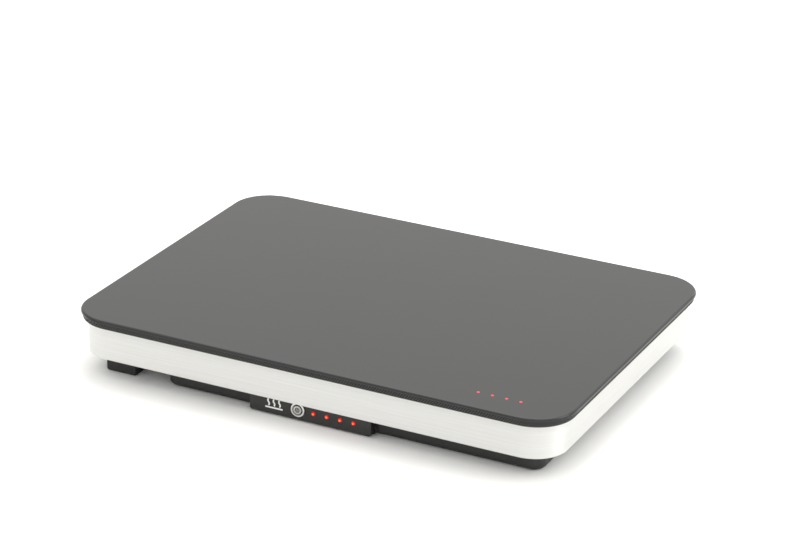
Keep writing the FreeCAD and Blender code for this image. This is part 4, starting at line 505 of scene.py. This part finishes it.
# Painted light and shade: the knurl's crests are painted lighter and its grooves darker.
knurl_painted_light_and_shade = add(knurled, "ShaderNodeMix", {"data_type": "RGBA"},
                 {6: colour("#080808"), 7: colour("#3a3a38")}, {0: (knurl_light, "Result")})
knurl_haze = add(knurled, "ShaderNodeMapRange", None, {"To Min": 0.7, "To Max": 0.45},
                 {"Value": (knurl_light, "Result")})
knurl_bump = add(knurled, "ShaderNodeBump", None, {"Strength": 0.8, "Distance": 0.5 * MM},
                 {"Height": (knurl_light, "Result")})
close(knurled, {"Specular IOR Level": 0.35},
      {"Base Color": (knurl_painted_light_and_shade, 2), "Roughness": (knurl_haze, "Result"), "Normal": (knurl_bump, "Normal")})
dress(knurled, "top_frame")

# ---------------------------------------------------------------------------
# Coils: flat spirals of twisted enamelled copper litz on phenolic carriers,
# with sintered ferrite bars below, a mica disc above and a ceramic sensor.
# They sit on a mill-finish aluminium deck.
# ---------------------------------------------------------------------------
litz_lay = 5 * MM
diagonal_to_pitch = 2 * wave_to_pitch

rolled = drawn_metal("mill_finish_aluminium_sheet", "#b3b4b6", "#cfd0d1", 0.28, 0.4, (10, 800, 800),
                     0.01 * MM)
dress(rolled, "coil_deck")

litz, place = finish("twisted_enamelled_copper_litz")
strands = add(litz, "ShaderNodeTexWave", {"wave_type": "BANDS", "bands_direction": "DIAGONAL"},
              {"Scale": diagonal_to_pitch / litz_lay, "Distortion": 1.5, "Detail": 2.0},
              {"Vector": (place, "Object")})
# Painted light and shade: the twisted strands are painted lighter on their crests and darker between them.
strand_painted_light_and_shade = add(litz, "ShaderNodeMix", {"data_type": "RGBA"}, {6: colour("#6d3315"), 7: colour("#cf7d44")},
                {0: (strands, "Fac")})
litz_bump = add(litz, "ShaderNodeBump", None, {"Strength": 0.5, "Distance": 0.3 * MM},
                {"Height": (strands, "Fac")})
close(litz, {"Metallic": 0.9, "Roughness": 0.32},
      {"Base Color": (strand_painted_light_and_shade, 2), "Normal": (litz_bump, "Normal")})
dress(litz, "coil_left", "coil_right")

phenolic = moulded("moulded_phenolic", "#2a211c", "#372c25", 0.4, 0.52, 0.8 * MM, 18 * MM, 0.02 * MM)
dress(phenolic, "coil_carrier_left", "coil_carrier_right")
ferrite = moulded("sintered_ferrite", "#2c2d30", "#3d3e42", 0.6, 0.75, 0.3 * MM, 4 * MM, 0.02 * MM)
dress(ferrite, "ferrites_left", "ferrites_right")
mica = moulded("pressed_mica_paper", "#a08a62", "#c2ad84", 0.35, 0.5, 1.5 * MM, 6 * MM, 0.05 * MM)
dress(mica, "mica_left", "mica_right")
alumina = moulded("sintered_alumina", "#dcd8cc", "#ece9df", 0.45, 0.6, 0.4 * MM, 4 * MM, 0.01 * MM)
dress(alumina, "temperature_sensors")

# ---------------------------------------------------------------------------
# Zone lamps: four small red LEDs on a strip board, on a bridge of natural
# nylon under the glass at the front right.
# ---------------------------------------------------------------------------
zone_low, zone_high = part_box("zone_lamps")
zone_lamp = 3.0 * MM
zone_pitch = (zone_high.x - zone_low.x - zone_lamp) / (lamp_count - 1)
zone_first = (zone_low.x + zone_lamp / 2, (zone_low.y + zone_high.y) / 2, 0)
dress(lit_lens("lit_red_zone_lens", zone_first, zone_pitch, 0.3 * MM, 1.5 * MM, (1, 1, 0)), "zone_lamps")
bridge_nylon = moulded("moulded_natural_nylon", "#cfccc0", "#dddace", 0.4, 0.55, 0.8 * MM, 15 * MM, 0.02 * MM)
dress(bridge_nylon, "zone_lamp_bridge")

# ---------------------------------------------------------------------------
# Glass: a black glass-ceramic plate, polished over its top and its rounded
# edge, glued to the frame with a silicone bead. It mirrors the studio
# like still water. The red points over the zone lamps are a painted glow
# in the glass itself, standing in for the lamps' light seen through it.
# ---------------------------------------------------------------------------
wipe_marks = 90 * MM

bead = moulded("black_silicone_bead", "#191919", "#222222", 0.35, 0.5, 1 * MM, 20 * MM, 0.05 * MM)
dress(bead, "glass_seal")

glass, place = finish("black_glass_ceramic")
smear = add(glass, "ShaderNodeTexNoise", None, {"Scale": 1 / wipe_marks, "Detail": 3.0},
            {"Vector": (place, "Object")})
polish = add(glass, "ShaderNodeMapRange", None,
             {"From Min": 0.35, "From Max": 0.7, "To Min": 0.025, "To Max": 0.06}, {"Value": (smear, "Fac")})
depth_tint = add(glass, "ShaderNodeMix", {"data_type": "RGBA"}, {6: colour("#0b0b0c"), 7: colour("#111112")},
                 {0: (smear, "Fac")})
# Painted light: the glass itself glows red over each zone lamp, standing in for the lamp's light seen through
# it.
away = from_nearest_lamp(glass, place, zone_first, zone_pitch, (1, 1, 0))
point = add(glass, "ShaderNodeMapRange", {"interpolation_type": "SMOOTHSTEP"},
            {"From Min": 0.7 * MM, "From Max": 2.0 * MM, "To Min": 3.0, "To Max": 0.0},
            {"Value": (away, "Value")})
close(glass, {"IOR": 1.54, "Emission Color": colour("#ff1408")},
      {"Base Color": (depth_tint, 2), "Roughness": (polish, "Result"),
       "Emission Strength": (point, "Result")})
dress(glass, "glass_top")
